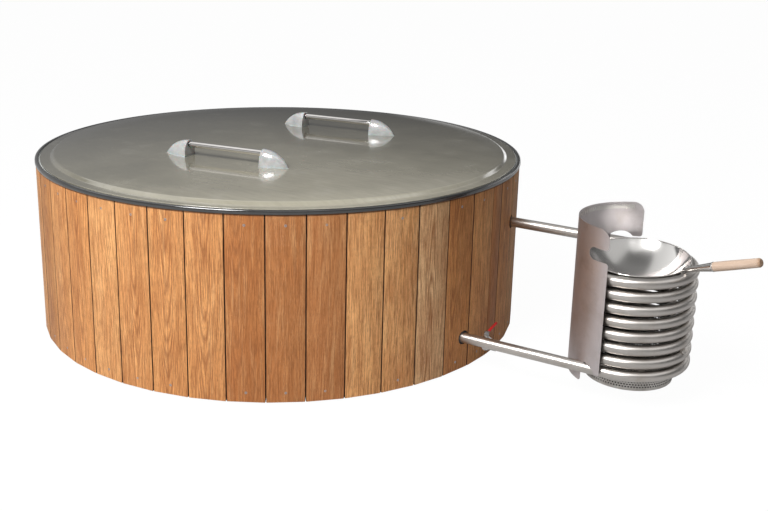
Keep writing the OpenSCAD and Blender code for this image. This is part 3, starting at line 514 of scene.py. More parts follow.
def turned(name, profile, steps=96, at=(0, 0)):
    """A closed shell of revolution about an upright axis. The profile is (radius, height) points from one end to
    the other; it either begins and ends on the axis or comes back to its first point."""
    body = bmesh.new()
    loop = profile[0][0] > 1e-9
    angles = [2 * math.pi * step / steps for step in range(steps)]
    columns = [[(at[0] + r * math.cos(a), at[1] + r * math.sin(a), z) for r, z in profile] for a in angles]
    poles = {k: body.verts.new((at[0], at[1], z)) for k, (r, z) in enumerate(profile) if r <= 1e-9}
    grid = [[poles.get(k) or body.verts.new(point) for k, point in enumerate(column)] for column in columns]
    count = len(profile)
    for step in range(steps):
        here, there = grid[step], grid[(step + 1) % steps]
        for k in range(count if loop else count - 1):
            n = (k + 1) % count
            corners = [here[k], there[k], there[n], here[n]]
            corners = [c for j, c in enumerate(corners) if c not in corners[:j]]
            if len(corners) > 2:
                body.faces.new(corners)
    bmesh.ops.recalc_face_normals(body, faces=body.faces)
    return made_mesh(body, name)


def rounded(points, radius, steps=4):
    """A profile with its inner corners rounded. Each point may carry its own radius as a third number."""
    done = [points[0][:2]]
    for before, here, after in zip(points, points[1:], points[2:]):
        own = here[2] if len(here) > 2 else radius
        p, a, b = Vector(here[:2]), Vector(before[:2]), Vector(after[:2])
        to_a, to_b = (a - p).normalized(), (b - p).normalized()
        half = to_a.angle(to_b) / 2
        reach = min(own / math.tan(half), (a - p).length * 0.49, (b - p).length * 0.49) if half < STRAIGHT else 0
        if reach < 1e-6:
            done.append(tuple(p))
            continue
        for step in range(steps + 1):
            t = step / steps
            q = (1 - t) ** 2 * (p + to_a * reach) + 2 * t * (1 - t) * p + t ** 2 * (p + to_b * reach)
            done.append(tuple(q))
    return done + [points[-1][:2]]


def metal(name, tone, shine, spread, brushed=(60, 60, 60), depth=0.0002, stain=None):
    """Bare metal: a fine directional scratch in its gloss, slow clouds in its colour, and in places a stain."""
    finish, net = new_finish(name)
    place = net.place()
    scratch = net.noise(net.stretched(place, brushed), 6.0, 3.0, 0.6)
    cloud = net.noise(place, 7.0, 3.0, 0.6)
    colour = net.mix(net.fade(cloud, 0.32, 0.68), tone, tuple(c * 0.86 for c in tone))
    if stain:
        colour = net.mix(net.fade(net.noise(place, 13.0, 4.0, 0.65), 0.52, 0.72, 0.0, 0.6), colour, stain)
    rough = net.fade(scratch * 0.6 + cloud * 0.4, 0.3, 0.7, shine - spread, shine + spread)
    net.surface({"Base Color": colour, "Metallic": 1.0, "Roughness": rough,
                 "Normal": net.bump(scratch, 0.25, depth)})
    return finish


screw_finish = metal("screw_steel", (0.50, 0.50, 0.51), 0.38, 0.08)


def screw_head():
    """A flush head with a cross recess, on the outer face of a board across +X."""
    sink, rise, crown, recess = 3 * MM, 0.1 * MM, 0.35 * MM, 1.2 * MM
    angles = [k * math.pi / 8 for k in range(16)]
    rim = [(SCREW_R * math.cos(a), SCREW_R * math.sin(a)) for a in angles]
    eased = [(0.9 * y, 0.9 * z) for y, z in rim]
    arm, slot = 0.55 * SCREW_R, 0.16 * SCREW_R
    cross = [(arm, -slot), (arm, slot), (slot, slot), (slot, arm), (-slot, arm), (-slot, slot), (-arm, slot),
             (-arm, -slot), (-slot, -slot), (-slot, -arm), (slot, -arm), (slot, -slot)]
    body = bmesh.new()
    rows = [[body.verts.new((BOARD_FACE + x, y, z)) for y, z in outline]
            for outline, x in ((rim, -sink), (rim, rise), (eased, crown))]
    skin(body, rows)
    top = [body.verts.new((BOARD_FACE + crown, y, z)) for y, z in cross]
    pit = [body.verts.new((BOARD_FACE - recess, 0.7 * y, 0.7 * z)) for y, z in cross]
    edges = [body.edges.new((top[k], top[(k + 1) % 12])) for k in range(12)]
    edges += [e for e in body.edges if all(v in rows[2] for v in e.verts)]
    bmesh.ops.triangle_fill(body, use_beauty=True, use_dissolve=False, edges=edges)
    skin(body, [top, pit])
    body.faces.new(pit)
    body.faces.new(rows[0])
    bmesh.ops.recalc_face_normals(body, faces=body.faces)
    return placed("screw_blank", made_mesh(body, "screw_blank"))


for level, node in zip(SCREW_LEVELS, ("upper_stave_screws", "lower_stave_screws")):
    head = screw_head()
    head.data.transform(moved(0, 0, level))
    name = node.replace("stave", "board")
    screws = ring_of(name, head, BOARD_COUNT, PITCH_ANGLE, FIRST_AZIMUTH, SCREW_SPREAD, screw_finish, SCREW_SEED)
    extra = head.data.copy()
    extra.transform(spun(CLOSING_AZIMUTH))
    joined = bmesh.new()
    joined.from_mesh(screws)
    joined.from_mesh(extra)
    joined.to_mesh(screws)
    joined.free()
    show(name, screws, screw_finish, "tub", [node], 30)
    bpy.data.objects.remove(head)

# ---------------------------------------- black edge bead
# A soft black rubber bead, drawn by the metre with a groove at its back. It is pressed over the shell's rim all the
# way round, covers the boards' tops and shines like the lid.
rubber_finish, net = new_finish("edge_rubber")
smear = net.noise(net.place(), 14.0, 3.0, 0.6)
net.surface({"Base Color": net.mix(net.fade(smear, 0.35, 0.7), (0.006, 0.006, 0.006), (0.014, 0.014, 0.014)),
             "Roughness": net.fade(smear, 0.3, 0.7, 0.10, 0.2), "Coat Weight": net.fade(smear, 0.4, 0.7, 1.0, 0.7),
             "Coat Roughness": 0.05, "Coat IOR": 1.8,
             "Normal": net.bump(net.noise(net.place(), 120.0), 0.04, 0.0002)})
BEAD_IN, BEAD_OUT, BEAD_LOW, BEAD_TOP = 955 * MM, 969.7 * MM, 661.4 * MM, 677.3 * MM
BEAD_ROUND = 7.3 * MM
RING_STEPS = 256
start = ((BEAD_IN + BEAD_OUT) / 2, BEAD_LOW)
bead = rounded([start, (BEAD_OUT, BEAD_LOW), (BEAD_OUT, BEAD_TOP), (BEAD_IN, BEAD_TOP), (BEAD_IN, BEAD_LOW), start],
               BEAD_ROUND, 6)[:-1]
show("edge_bead", turned("edge_bead", bead, RING_STEPS), rubber_finish, "tub", ["edge_trim"])

# ---------------------------------------- lid
# One moulded grey skin: a flat flange on the seal, a sloping step and a slightly crowned middle, with a lip under it
# that keeps it in the bath's mouth. Its gloss is hazed by water marks and fine dust.
LID_TOP, LID_SKIN = 693 * MM, 5 * MM
CROWN_R, CROWN_FALL = 901 * MM, 4.5 * MM
FLANGE_TOP, FLANGE_LOW, FLANGE_R = 677 * MM, 672 * MM, 951 * MM
LIP_IN, LIP_OUT, LIP_LOW = 876 * MM, 881 * MM, 632 * MM
lid_under = LID_TOP - LID_SKIN
lid_profile = rounded([
    (0, LID_TOP), (825 * MM, LID_TOP, 1.4), (CROWN_R, LID_TOP - CROWN_FALL, 14 * MM), (913 * MM, FLANGE_TOP, 6 * MM),
    (FLANGE_R, FLANGE_TOP, 3 * MM), (FLANGE_R, FLANGE_LOW, 1 * MM), (908 * MM, FLANGE_LOW, 8 * MM),
    (886 * MM, 684 * MM), (LIP_OUT, lid_under), (LIP_OUT, LIP_LOW, 1.5 * MM), (LIP_IN, LIP_LOW, 1.5 * MM),
    (LIP_IN, lid_under), (0, lid_under)], 9 * MM, 6)
lid_finish, net = new_finish("lid_gelcoat")
place = net.place()
at_x, at_y, _ = net.parts(place)
cloud = net.noise(net.stretched(place, (1.0, 1.0, 0.0)), 1.7, 5.0, 0.62)
marks = net.noise(net.stretched(place, (1.0, 1.0, 0.0)), 6.5, 6.0, 0.7)
dust = net.node("ShaderNodeTexVoronoi", {"Vector": place, "Scale": 420.0}, "Distance", feature="F1")
speck = net.noise(place, 900.0, 1.0)
# The colour is painted light toward the front right and near-black toward the back, and the light clouds show only on
# that lit side: a painted reflection.
near = net.fade(net.reach(at_x - 0.6, at_y + 0.5), 0.1, 1.6, 1.0, 0.0)
sweep = net.noise(net.stretched(place, (9.0, 60.0, 0.0)), 1.0, 4.0, 0.65)
grey = net.layered(
    net.mix(near, (0.018, 0.015, 0.007), (0.44, 0.41, 0.315)),
    (net.fade(cloud, 0.42, 0.68, 0.0, 0.42) * near, (0.52, 0.49, 0.40)),
    (net.fade(cloud, 0.30, 0.45, 0.35, 0.0), (0.12, 0.115, 0.09)),
    (net.fade(marks, 0.55, 0.7, 0.0, 0.18), (0.50, 0.49, 0.45)),
    (net.fade(sweep, 0.35, 0.65, 0.16, 0.0), (0.10, 0.095, 0.075)),
    (net.fade(dust, 0.08, 0.16, 0.22, 0.0) * (speck > 0.55), (0.7, 0.69, 0.65)))
gloss = net.fade(cloud * 0.5 + marks * 0.5, 0.35, 0.68, 0.14, 0.26)
net.surface({"Base Color": grey, "Roughness": gloss, "Specular IOR Level": 0.5,
             "Coat Weight": net.fade(marks, 0.4, 0.7, 1.0, 0.8), "Coat Roughness": 0.05, "Coat IOR": 1.8,
             "Normal": net.bump(net.noise(place, 7.0, 1.0), 0.04, 0.002)})
show("lid_skin", turned("lid_skin", lid_profile, RING_STEPS), lid_finish, "lid", ["lid"], 50)

# The seal under the lid is matt rubber, and so are the rings round the pipes and the drain.
seal_finish, net = new_finish("matt_rubber")
bloom = net.noise(net.place(), 40.0, 4.0, 0.6)
net.surface({"Base Color": net.mix(bloom, (0.02, 0.02, 0.02), (0.05, 0.05, 0.05)),
             "Roughness": net.fade(bloom, 0.3, 0.7, 0.62, 0.8), "Normal": net.bump(bloom, 0.2, 0.0003)})
dress(seal_finish, "lid_seal", "pipe_seals", "drain_gasket", "pipe_grommets")
dress(screw_finish, "handle_bolts")

# ---------------------------------------- lid handles
# Two polished steel bars, each held between two pointed, clear-coated silver fins that are bolted through the lid.
# A fin is an arch at its bar's end, falls to a point outward, and stands on a thin skirt.
HANDLE_X, HANDLE_Y = 15 * MM, {"near": -383 * MM, "far": 383 * MM}
HANDLE_TURN, HANDLE_HALF = math.radians(7), 163 * MM
FIN_TURNS = {"left": math.pi, "right": 0.0}
FIN_LONG, FIN_WIDE, FIN_TALL = 105 * MM, 68 * MM, 62 * MM
BAR_R, BAR_RISE, BAR_SINK = 11 * MM, 45 * MM, 8 * MM
COLLAR_HALF, ROD_STEPS = 2.5 * MM, 48
SKIRT_OUT, SKIRT_TALL = 2.4 * MM, 2.2 * MM
ARCH_BEND = 2 / 2.3
FIN_STEPS, FIN_CROWDING, BLUNT_TIP = 24, 0.85, 0.992


def fin_section(share, steps=20):
    """The arch across a fin at a share of its length: points from one foot over the top to the other. The fin's
    ridge and its two sides are arcs of circles that meet at its point."""
    x = FIN_LONG * share
    ridge_r = (FIN_TALL ** 2 + FIN_LONG ** 2) / (2 * FIN_TALL)
    side_r = (FIN_WIDE ** 2 / 4 + FIN_LONG ** 2) / FIN_WIDE
    tall = FIN_TALL - ridge_r + math.sqrt(ridge_r ** 2 - x ** 2)
    half = FIN_WIDE / 2 - side_r + math.sqrt(side_r ** 2 - x ** 2)
    points = []
    for k in range(steps + 1):
        a = math.pi * k / steps
        y = -math.copysign(abs(math.cos(a)) ** ARCH_BEND, math.cos(a)) * half
        points.append((y, tall * math.sin(a) ** ARCH_BEND))
    return points


def band(inner, outer, low, high, ease):
    """The eased outline of a flat ring's section."""
    return rounded([(inner, low), (outer, low), (outer, high), (inner, high)], ease)


def fin_mesh(name):
    """The fin along +X from its flat face, closed, with a thin skirt round its foot."""
    foot_z = SKIRT_TALL * 0.9
    body = bmesh.new()
    rows = []
    for step in range(FIN_STEPS + 1):
        share = min((step / FIN_STEPS) ** FIN_CROWDING, BLUNT_TIP)
        rows.append([body.verts.new((FIN_LONG * share, y, z * (1 - foot_z / FIN_TALL) + foot_z))
                     for y, z in fin_section(share)])
    skin(body, rows, closed=False, capped=True)
    body.faces.new([ring[0] for ring in rows] + [ring[-1] for ring in rows[::-1]])
    bmesh.ops.recalc_face_normals(body, faces=body.faces)
    arch = [e for e in body.edges if all(v.co.x < 1e-6 and v.co.z > SKIRT_TALL for v in e.verts)]
    bmesh.ops.bevel(body, geom=arch, offset=1.6 * MM, segments=3, profile=0.5, affect="EDGES", clamp_overlap=True)
    outline = [(FIN_LONG * k / 20, -fin_section(k / 20)[0][0]) for k in range(21)]
    outline = [(x - 0.2 * MM, y) for x, y in outline] + [(x - 0.2 * MM, -y) for x, y in outline[-2::-1]]
    levels = ((0.0, 1.0), (0.55 * SKIRT_TALL, 1.0), (SKIRT_TALL, 0.55))
    rings = []
    for z, share in levels:
        long, wide = 1 + share * SKIRT_OUT / FIN_LONG, 1 + share * 2 * SKIRT_OUT / FIN_WIDE
        rings.append([body.verts.new((x * long, y * wide, z)) for x, y in outline])
    skin(body, rings, capped=True)
    bmesh.ops.recalc_face_normals(body, faces=body.faces)
    return made_mesh(body, name)


fin_finish, net = new_finish("silver_fin_plastic")
place = net.place()
flake = net.node("ShaderNodeTexVoronoi", {"Vector": place, "Scale": 900.0}, "Color", feature="F1")
flake_x, _, _ = net.parts(flake)
milk = net.noise(place, 30.0, 3.0, 0.6)
silver = net.layered(net.mix(net.fade(milk, 0.3, 0.7), (0.33, 0.335, 0.33), (0.50, 0.505, 0.50)),
                     (net.fade(flake_x, 0.7, 1.0, 0.0, 0.6), (1.0, 1.0, 1.0)))
net.surface({"Base Color": silver, "Roughness": net.fade(flake_x, 0.0, 1.0, 0.36, 0.2), "Coat Weight": 1.0,
             "Coat Roughness": 0.05, "Metallic": net.fade(flake_x, 0.8, 1.0, 0.0, 0.4), "Subsurface Weight": 0.25,
             "Subsurface Scale": 0.02, "Normal": net.bump(flake_x, 0.12, 0.0003)})
bar_finish = metal("polished_bar", (0.80, 0.775, 0.75), 0.05, 0.02, (30, 30, 30), 0.00003)
for side, handle_y in HANDLE_Y.items():
    stand = moved(HANDLE_X, handle_y, LID_TOP) @ spun(HANDLE_TURN)
    for end, turn in FIN_TURNS.items():
        mesh = fin_mesh(f"{side}_{end}_fin_shell")
        mesh.transform(stand @ spun(turn) @ moved(HANDLE_HALF, 0, 0))
        show(mesh.name, mesh, fin_finish, "lid", [f"{side}_{end}_fin"], 40)
    reach = HANDLE_HALF + BAR_SINK
    rod = rounded([(0, -reach), (BAR_R, -reach), (BAR_R, reach), (0, reach)], 2 * MM)
    bar = turned(f"{side}_bar", rod, ROD_STEPS)
    lay = moved(0, 0, BAR_RISE) @ spun(math.pi / 2, "Y")
    bar.transform(stand @ lay)
    show(bar.name, bar, bar_finish, "lid", [f"{side}_grip_bar"], 40)
    for end in (-1, 1):
        at = end * (HANDLE_HALF - COLLAR_HALF)
        collar = band(BAR_R - 1 * MM, BAR_R + 2 * MM, at - COLLAR_HALF, at + COLLAR_HALF, 1.2 * MM)
        ring = turned(f"{side}_bar_ring_{(end + 1) // 2}", collar, ROD_STEPS)
        ring.transform(stand @ lay)
        show(ring.name, ring, rubber_finish, "lid")

# ---------------------------------------- pipes and coil
# One satin stainless tube of 38 mm leaves the bath low on the front side, climbs seven and a half turns and goes
# back high on the other side. Heat has left it a little brown, and each turn is wound by eye.
TUBE_R = 19 * MM
COIL_X, COIL_R = 1505 * MM, 186 * MM
TURN_RISE, TURNS = 46.8 * MM, 7.5
PIPE_END_X = 852.3 * MM
TURN_STEPS, TUBE_SIDES = 80, 28
WOBBLE, EVEN_STEPS = 1.6 * MM, 40.0

tube_finish = metal("satin_tube", (0.64, 0.605, 0.57), 0.33, 0.04, (60, 60, 60), 0.00005, (0.47, 0.42, 0.37))
net, wire, given = new_tree("coil_and_pipes", Tube=TUBE_R, Coil=COIL_R, Rise=TURN_RISE, Turns=TURNS, Axis=COIL_X,
                            End=PIPE_END_X, Low=LOWER_PIPE[1])
steps = wire["Turns"] * float(TURN_STEPS)
line = net.node("GeometryNodeMeshLine", {"Count": steps + 3.0})
index = net.node("GeometryNodeInputIndex") - 1.0
held = net.math("MAXIMUM", net.math("MINIMUM", index, steps), 0.0)
angle = held * (2 * math.pi / TURN_STEPS) - math.pi / 2
lead = abs(index - held)
free = 1 - lead
round_x = wire["Axis"] + wire["Coil"] * net.math("COSINE", angle)
round_y = wire["Coil"] * net.math("SINE", angle)
wobble = net.noise(net.vector(held * 0.02, 3.7, 1.1), 1.0, 1.0) * WOBBLE - WOBBLE / 2
wobble = wobble * free * (held > EVEN_STEPS) * (held < steps - EVEN_STEPS)
height = wire["Low"] + wire["Rise"] * held / float(TURN_STEPS) + wobble
path_x = round_x * free + wire["End"] * lead
path = net.node("GeometryNodeSetPosition", {"Geometry": line, "Position": net.vector(path_x, round_y, height)})
curve = net.node("GeometryNodeMeshToCurve", {0: path})
curve = net.node("GeometryNodeSetCurveNormal", {"Curve": curve}, mode="Z_UP")
hoop = net.node("GeometryNodeCurvePrimitiveCircle", {"Resolution": TUBE_SIDES, "Radius": wire["Tube"]})
tube = net.node("GeometryNodeCurveToMesh", {"Curve": curve, "Profile Curve": hoop, "Fill Caps": True})
show("coil_and_pipes", grow("coil_and_pipes", net, given, tube, tube_finish), tube_finish, "tub",
     ["lower_pipe", "upper_pipe", "coil"])

# A small flat plate welded on the outer side of the second turn, at the right.
LUG_SIZE, LUG_FOOT = (20 * MM, 44 * MM, 3 * MM), 19.3 * MM
LUG_TURN, LUG_PITCH = math.radians(7.5), math.radians(30)
LUG_MIDDLE = COIL_X + 182.8 * MM, -24.1 * MM, 182.5 * MM
coil_slope = math.atan(TURN_RISE / (2 * math.pi * COIL_R))


def eased_box(name, size, stand, ease, segments, end_ease=0):
    """A box with eased edges, moved by a matrix. The upright edges at its +Y end can be rounded first."""
    body = bmesh.new()
    bmesh.ops.create_cube(body, size=1.0)
    body.transform(Matrix.Diagonal((*size, 1)))
    if end_ease:
        ends = [e for e in body.edges if all(v.co.y > 0 for v in e.verts) and e.verts[0].co.x == e.verts[1].co.x]
        bmesh.ops.bevel(body, geom=ends, offset=end_ease, segments=8, profile=0.5, affect="EDGES")
    bmesh.ops.bevel(body, geom=list(body.edges), offset=ease, segments=segments, profile=0.5, affect="EDGES",
                    clamp_overlap=True)
    body.transform(stand)
    return made_mesh(body, name)


stand = (moved(*LUG_MIDDLE) @ spun(-LUG_TURN) @ spun(LUG_PITCH, "Y") @ spun(coil_slope, "X")
         @ moved(0, 0, LUG_FOOT + LUG_SIZE[2] / 2))
plate = eased_box("coil_lug_plate", LUG_SIZE, stand, 0.7 * MM, 2)
show("coil_lug_plate", plate, tube_finish, "tub", ["coil_lug"], 60)

# ---------------------------------------- drain and ball valve
# A flanged fitting clamps the bath's wall, and a nickel-plated ball valve is screwed on it. Its steel lever has a
# red dipped sleeve and lies along the tub's wall while it is shut.
nickel_finish = metal("nickel_plate", (0.66, 0.65, 0.63), 0.24, 0.05, (30, 30, 30), 0.0001)
dress(tube_finish, "pipe_strainers", "drain_fitting", "drain_locknut")
dress(nickel_finish, "valve_body", "valve_gland_nut", "valve_ball", "valve_stem")
dress(screw_finish, "lever_nut", "valve_lever")
seat_finish, net = new_finish("white_seat_plastic")
net.surface({"Base Color": net.mix(net.noise(net.place(), 60.0), (0.84, 0.83, 0.80), (0.9, 0.89, 0.86)),
             "Roughness": 0.4, "Normal": net.bump(net.noise(net.place(), 200.0), 0.1, 0.0001)})
dress(seat_finish, "valve_seats")
red_finish, net = new_finish("red_dipped_plastic")
dip = net.noise(net.place(), 45.0, 3.0, 0.6)
net.surface({"Base Color": net.mix(net.fade(dip, 0.35, 0.7), (0.55, 0.018, 0.016), (0.42, 0.012, 0.012)),
             "Roughness": net.fade(dip, 0.3, 0.7, 0.3, 0.44), "Normal": net.bump(dip, 0.15, 0.0005)})
SLEEVE_SIZE, SLEEVE_ROOT, SLEEVE_RISE = (9 * MM, 70 * MM, 5 * MM), 4 * MM, 1.5 * MM
STEM = 1008 * MM, -118 * MM, 131.3 * MM
LEVER_FLAT, LEVER_RISE = 14 * MM, math.radians(9)
stand = (moved(*STEM) @ moved(0, LEVER_FLAT, 0) @ spun(LEVER_RISE, "X")
         @ moved(0, SLEEVE_ROOT + SLEEVE_SIZE[1] / 2, SLEEVE_RISE))
sleeve = eased_box("red_sleeve", SLEEVE_SIZE, stand, 1.6 * MM, 3, 4 * MM)
show("red_sleeve", sleeve, red_finish, "lever", ["lever_sleeve"], 60)

# ---------------------------------------- heat shield
# A curved sheet of satin stainless steel stands over the lower pipe, between the coil and the boards. It has a strip
# welded inside its upper edge, and heat has left it slightly pink.
shield_finish = metal("heat_tinted_sheet", (0.69, 0.645, 0.65), 0.48, 0.04, (30, 30, 3), 0.00008, (0.50, 0.45, 0.43))
strip_finish = metal("sheet_strip", (0.74, 0.71, 0.68), 0.28, 0.06, (50, 50, 3), 0.0001)
dress(shield_finish, "heat_shield")
dress(strip_finish, "shield_stiffener")

# ---------------------------------------- fire basket
# A round basket of perforated stainless sheet hangs inside the coil on a collar. Its wall is rolled from sheet with
# staggered round holes, its floor is a pressed disc, and three brackets on the lowest turn carry it.
BASKET_R, BASKET_LOW, BASKET_TALL, SHEET = 152 * MM, 61 * MM, 200 * MM, 1.5 * MM
HOLE_COLUMNS, HOLE_SHARE = 98, 0.68
BASKET_STEPS, LIP_TALL = 120, 6 * MM
basket_finish, net = new_finish("sooted_sheet")
place = net.place()
at_x, at_y, _ = net.parts(place)
outer = net.reach(at_x - COIL_X, at_y) > BASKET_R - 0.5 * SHEET
smoke = net.noise(place, 14.0, 4.0, 0.65)
steel = net.mix(net.fade(smoke, 0.4, 0.7), (0.60, 0.575, 0.545), (0.40, 0.37, 0.34))
net.surface({"Base Color": net.mix(outer, (0.025, 0.022, 0.02), steel), "Metallic": outer * 0.9,
             "Roughness": net.fade(smoke, 0.3, 0.7, 0.34, 0.46), "Normal": net.bump(smoke, 0.1, 0.0002)})


def hole_tile(name, wide, tall):
    """A flat tile in the XY plane with one round hole, as a ring of eight four-sided faces."""
    body = bmesh.new()
    edge = [(1, 0), (1, 1), (0, 1), (-1, 1), (-1, 0), (-1, -1), (0, -1), (1, -1)]
    outer = [body.verts.new((x * wide / 2, y * tall / 2, 0)) for x, y in edge]
    hole = HOLE_SHARE * min(wide, tall) / 2
    corners = [k * math.pi / 4 for k in range(8)]
    inner = [body.verts.new((hole * math.cos(a), hole * math.sin(a), 0)) for a in corners]
    for k in range(8):
        n = (k + 1) % 8
        body.faces.new((inner[k], outer[k], outer[n], inner[n]))
    return placed(name, made_mesh(body, name))


tile_wide = 2 * math.pi * BASKET_R / HOLE_COLUMNS
hole_rows = int(BASKET_TALL / (tile_wide * math.sin(math.pi / 3)))
tile_tall = BASKET_TALL / hole_rows
tile = hole_tile("hole_tile", tile_wide, tile_tall)
net, wire, given = new_tree("perforated_wall", Tile=tile, Columns=HOLE_COLUMNS, Rows=hole_rows, Wide=tile_wide,
                            Tall=tile_tall, Radius=BASKET_R, Low=BASKET_LOW, Axis=COIL_X)
points = net.node("GeometryNodePoints", {"Count": wire["Columns"] * wire["Rows"]})
index = net.node("GeometryNodeInputIndex")
row = net.math("FLOOR", (index + 0.5) / wire["Columns"])
column = index - row * wire["Columns"]
spot = net.vector((column + net.math("MODULO", row, 2.0) * 0.5) * wire["Wide"], (row + 0.5) * wire["Tall"], 0.0)
points = net.node("GeometryNodeSetPosition", {"Geometry": points, "Position": spot})
source = net.node("GeometryNodeObjectInfo", {"Object": wire["Tile"]}, "Geometry")
tiles = net.node("GeometryNodeInstanceOnPoints", {"Points": points, "Instance": source})
sheet = net.node("GeometryNodeRealizeInstances", {0: tiles})
flat_x, flat_y, _ = net.parts(net.node("GeometryNodeInputPosition"))
angle = flat_x / wire["Radius"]
wrapped = net.vector(wire["Axis"] + wire["Radius"] * net.math("COSINE", angle),
                     wire["Radius"] * net.math("SINE", angle), wire["Low"] + flat_y)
sheet = net.node("GeometryNodeSetPosition", {"Geometry": sheet, "Position": wrapped})
sheet = net.node("GeometryNodeMergeByDistance", {"Geometry": sheet, "Distance": 0.05 * MM})
grow("basket_wall", net, given, sheet, basket_finish)
bpy.data.objects.remove(tile)
wall = bpy.data.objects["basket_wall"]
thick = wall.modifiers.new("thick", "SOLIDIFY")
thick.thickness, thick.offset = SHEET, -1.0
show("basket_wall", plain(wall), basket_finish, "basket", ["fire_basket"], 40)
rim = BASKET_LOW + BASKET_TALL
lip_profile = band(BASKET_R - 1.5 * SHEET, BASKET_R + 0.6 * SHEET, rim - LIP_TALL, rim, 1 * MM)
# The floor's raised middle, its outer edge against the wall and its underside: millimetres in from the wall and up.
pan_line = ((16, 3), (3, 0.2), (-0.3, 0.2), (-0.3, 8), (2, 8), (4, 3), (18, 5))
pan_line = [(BASKET_R - inset * MM, BASKET_LOW + rise * MM) for inset, rise in pan_line]
pan_profile = rounded([(0, BASKET_LOW + 3 * MM), *pan_line, (0, BASKET_LOW + 5 * MM)], 2 * MM)
for name, profile in (("basket_lip", lip_profile), ("basket_floor", pan_profile)):
    mesh = turned(name, profile, BASKET_STEPS, (COIL_X, 0))
    show(name, mesh, basket_finish, "basket")
dress(basket_finish, "basket_collar")
dress(tube_finish, "basket_brackets")

# ---------------------------------------- wok
# A thin spun steel bowl with a rolled rim lies tilted on the coil's mouth. A small plate on its rim carries a conical
# steel ferrule, and that holds a turned beech grip that is darker towards its end.
WOK_RISE_ANGLE = math.radians(5)
WOK_R, WOK_DEPTH, WOK_SHEET, WOK_BEAD = 174 * MM, 92 * MM, 1.5 * MM, 2 * MM
BOWL_RINGS, BEAD_SIDES, WOK_STEPS = 30, 12, 160
WOK_BALL = (WOK_R ** 2 + WOK_DEPTH ** 2) / (2 * WOK_DEPTH)
low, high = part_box("wok_rim")
tilt = moved(COIL_X, 0, (low[2] + high[2]) / 2 - WOK_BEAD / 2) @ spun(WOK_RISE_ANGLE, "X")


def bowl_line(ball, reach):
    """A spherical bowl's section, from its lowest point out to its rim."""
    sweep = math.asin(reach / ball)
    return [(ball * math.sin(sweep * k / BOWL_RINGS),
             WOK_BALL - WOK_DEPTH - ball * math.cos(sweep * k / BOWL_RINGS)) for k in range(BOWL_RINGS + 1)]


inside, outside = bowl_line(WOK_BALL, WOK_R), bowl_line(WOK_BALL + WOK_SHEET, WOK_R + WOK_SHEET)
bowl = turned("wok_bowl", inside + outside[::-1], WOK_STEPS)
bowl.transform(tilt)
wok_finish, net = new_finish("spun_wok_steel")
place = net.place()
at_x, at_y, _ = net.parts(place)
spin = net.noise(net.vector(net.reach(at_x - COIL_X, at_y) * 900.0, 0.3, 0.7), 1.0, 3.0, 0.6)
used = net.noise(place, 9.0, 4.0, 0.65)
# The half toward the shield is rougher from scouring; its darker colour there is a painted reflection of the dark
# shield.
scour_and_shade = net.fade(at_x - COIL_X + (used - 0.5) * 60 * MM, 0.0, 90 * MM, 1.0, 0.0)
wok_steel = net.mix(net.fade(used, 0.4, 0.7), (0.80, 0.785, 0.765), (0.68, 0.66, 0.635))
net.surface({"Base Color": net.mix(scour_and_shade, wok_steel, (0.47, 0.46, 0.445)), "Metallic": 1.0,
             "Roughness": net.fade(spin * 0.6 + used * 0.4, 0.3, 0.7, 0.05, 0.10) + scour_and_shade * 0.16,
             "Normal": net.bump(spin, 0.12, 0.0002)})
show("wok_bowl", bowl, wok_finish, "wok", ["wok"], 40)
bead_middle, bead_angles = WOK_R + WOK_SHEET / 2, [k * 2 * math.pi / BEAD_SIDES for k in range(BEAD_SIDES)]
bead = turned("wok_bead", [(bead_middle + WOK_BEAD * math.cos(a), WOK_BEAD / 2 + WOK_BEAD * math.sin(a))
                           for a in bead_angles], WOK_STEPS)
bead.transform(tilt)
show("wok_bead", bead, bar_finish, "wok", ["wok_rim"], 60)

HANDLE_AZIMUTH, HANDLE_RISE = math.radians(-15), math.radians(21)
FERRULE_LONG, FERRULE_ROOT, GRIP_R, GRIP_LONG = 114 * MM, 7 * MM, 16 * MM, 165 * MM
CUFF_R, GRIP_STEPS = GRIP_R + 0.6 * MM, 64
PLATE_SIZE, PLATE_TILT = (20 * MM, 34 * MM, 2 * MM), math.radians(52)
outward = tilt @ spun(HANDLE_AZIMUTH)
hold = outward @ moved(WOK_R - 2 * MM, 0, 3 * MM) @ spun(math.pi / 2 - HANDLE_RISE, "Y")
cone = rounded([(0, 0), (FERRULE_ROOT, 0), (FERRULE_ROOT * 1.05, 6 * MM), (GRIP_R - 1 * MM, FERRULE_LONG - 8 * MM),
                (CUFF_R, FERRULE_LONG - 3 * MM), (CUFF_R, FERRULE_LONG), (0, FERRULE_LONG)], 2 * MM)
ferrule = turned("wok_ferrule_cone", cone, GRIP_STEPS)
ferrule.transform(hold)
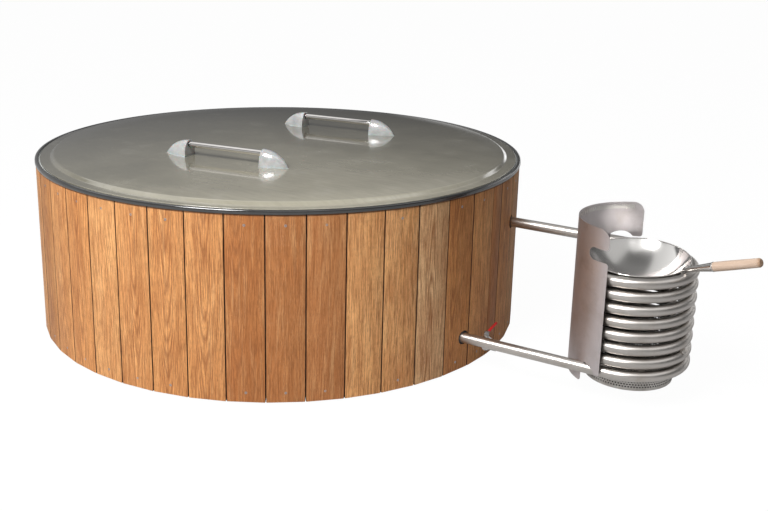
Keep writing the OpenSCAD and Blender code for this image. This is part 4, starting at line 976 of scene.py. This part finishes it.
ferrule_finish = metal("ferrule_steel", (0.74, 0.72, 0.70), 0.14, 0.06, (80, 80, 80), 0.0001, (0.55, 0.50, 0.46))
show(ferrule.name, ferrule, ferrule_finish, "wok", ["wok_ferrule"], 40)
stand = outward @ moved(WOK_R + 2.5 * MM, 0, -8 * MM) @ spun(PLATE_TILT, "Y")
plate = eased_box("ferrule_plate", PLATE_SIZE, stand, 0.9 * MM, 3)
show("ferrule_plate", plate, bar_finish, "wok")
root, end = FERRULE_LONG - 4 * MM, FERRULE_LONG + GRIP_LONG
grip_line = rounded([
    (0, root), (GRIP_R - 2 * MM, root), (GRIP_R - 1 * MM, FERRULE_LONG), (GRIP_R, FERRULE_LONG + 4 * MM),
    (GRIP_R, FERRULE_LONG + 60 * MM, 90 * MM), (GRIP_R - 1 * MM, end - 6 * MM, 5 * MM),
    (GRIP_R - 4 * MM, end, 3 * MM), (0, end)], 3 * MM, 5)
grip = turned("beech_grip", grip_line, GRIP_STEPS)
grip.transform(hold)
grip_finish, net = new_finish("turned_beech")
mapping = {"Vector": net.place(), "Location": tuple(hold.translation), "Rotation": tuple(hold.to_euler())}
turned_place = net.node("ShaderNodeMapping", mapping, vector_type="TEXTURE")
_, _, along = net.parts(turned_place)
fibre = net.noise(net.stretched(turned_place, (260.0, 260.0, 12.0)), 1.0, 4.0, 0.6)
fleck = net.noise(net.stretched(turned_place, (900.0, 900.0, 140.0)), 1.0, 2.0)
wood = net.layered(net.mix(net.fade(fibre, 0.3, 0.7), (0.69, 0.535, 0.425), (0.58, 0.42, 0.31)),
                   (net.fade(fleck, 0.58, 0.72, 0.0, 0.45), (0.46, 0.27, 0.14)),
                   (net.fade(along, end - 10 * MM, end - 3 * MM, 0.0, 0.7), (0.38, 0.22, 0.12)))
net.surface({"Base Color": wood, "Roughness": net.fade(fibre, 0.3, 0.7, 0.42, 0.55), "Specular IOR Level": 0.4,
             "Normal": net.bump(fibre, 0.2, 0.0003)})
show("beech_grip", grip, grip_finish, "wok", ["wok_grip"], 40)
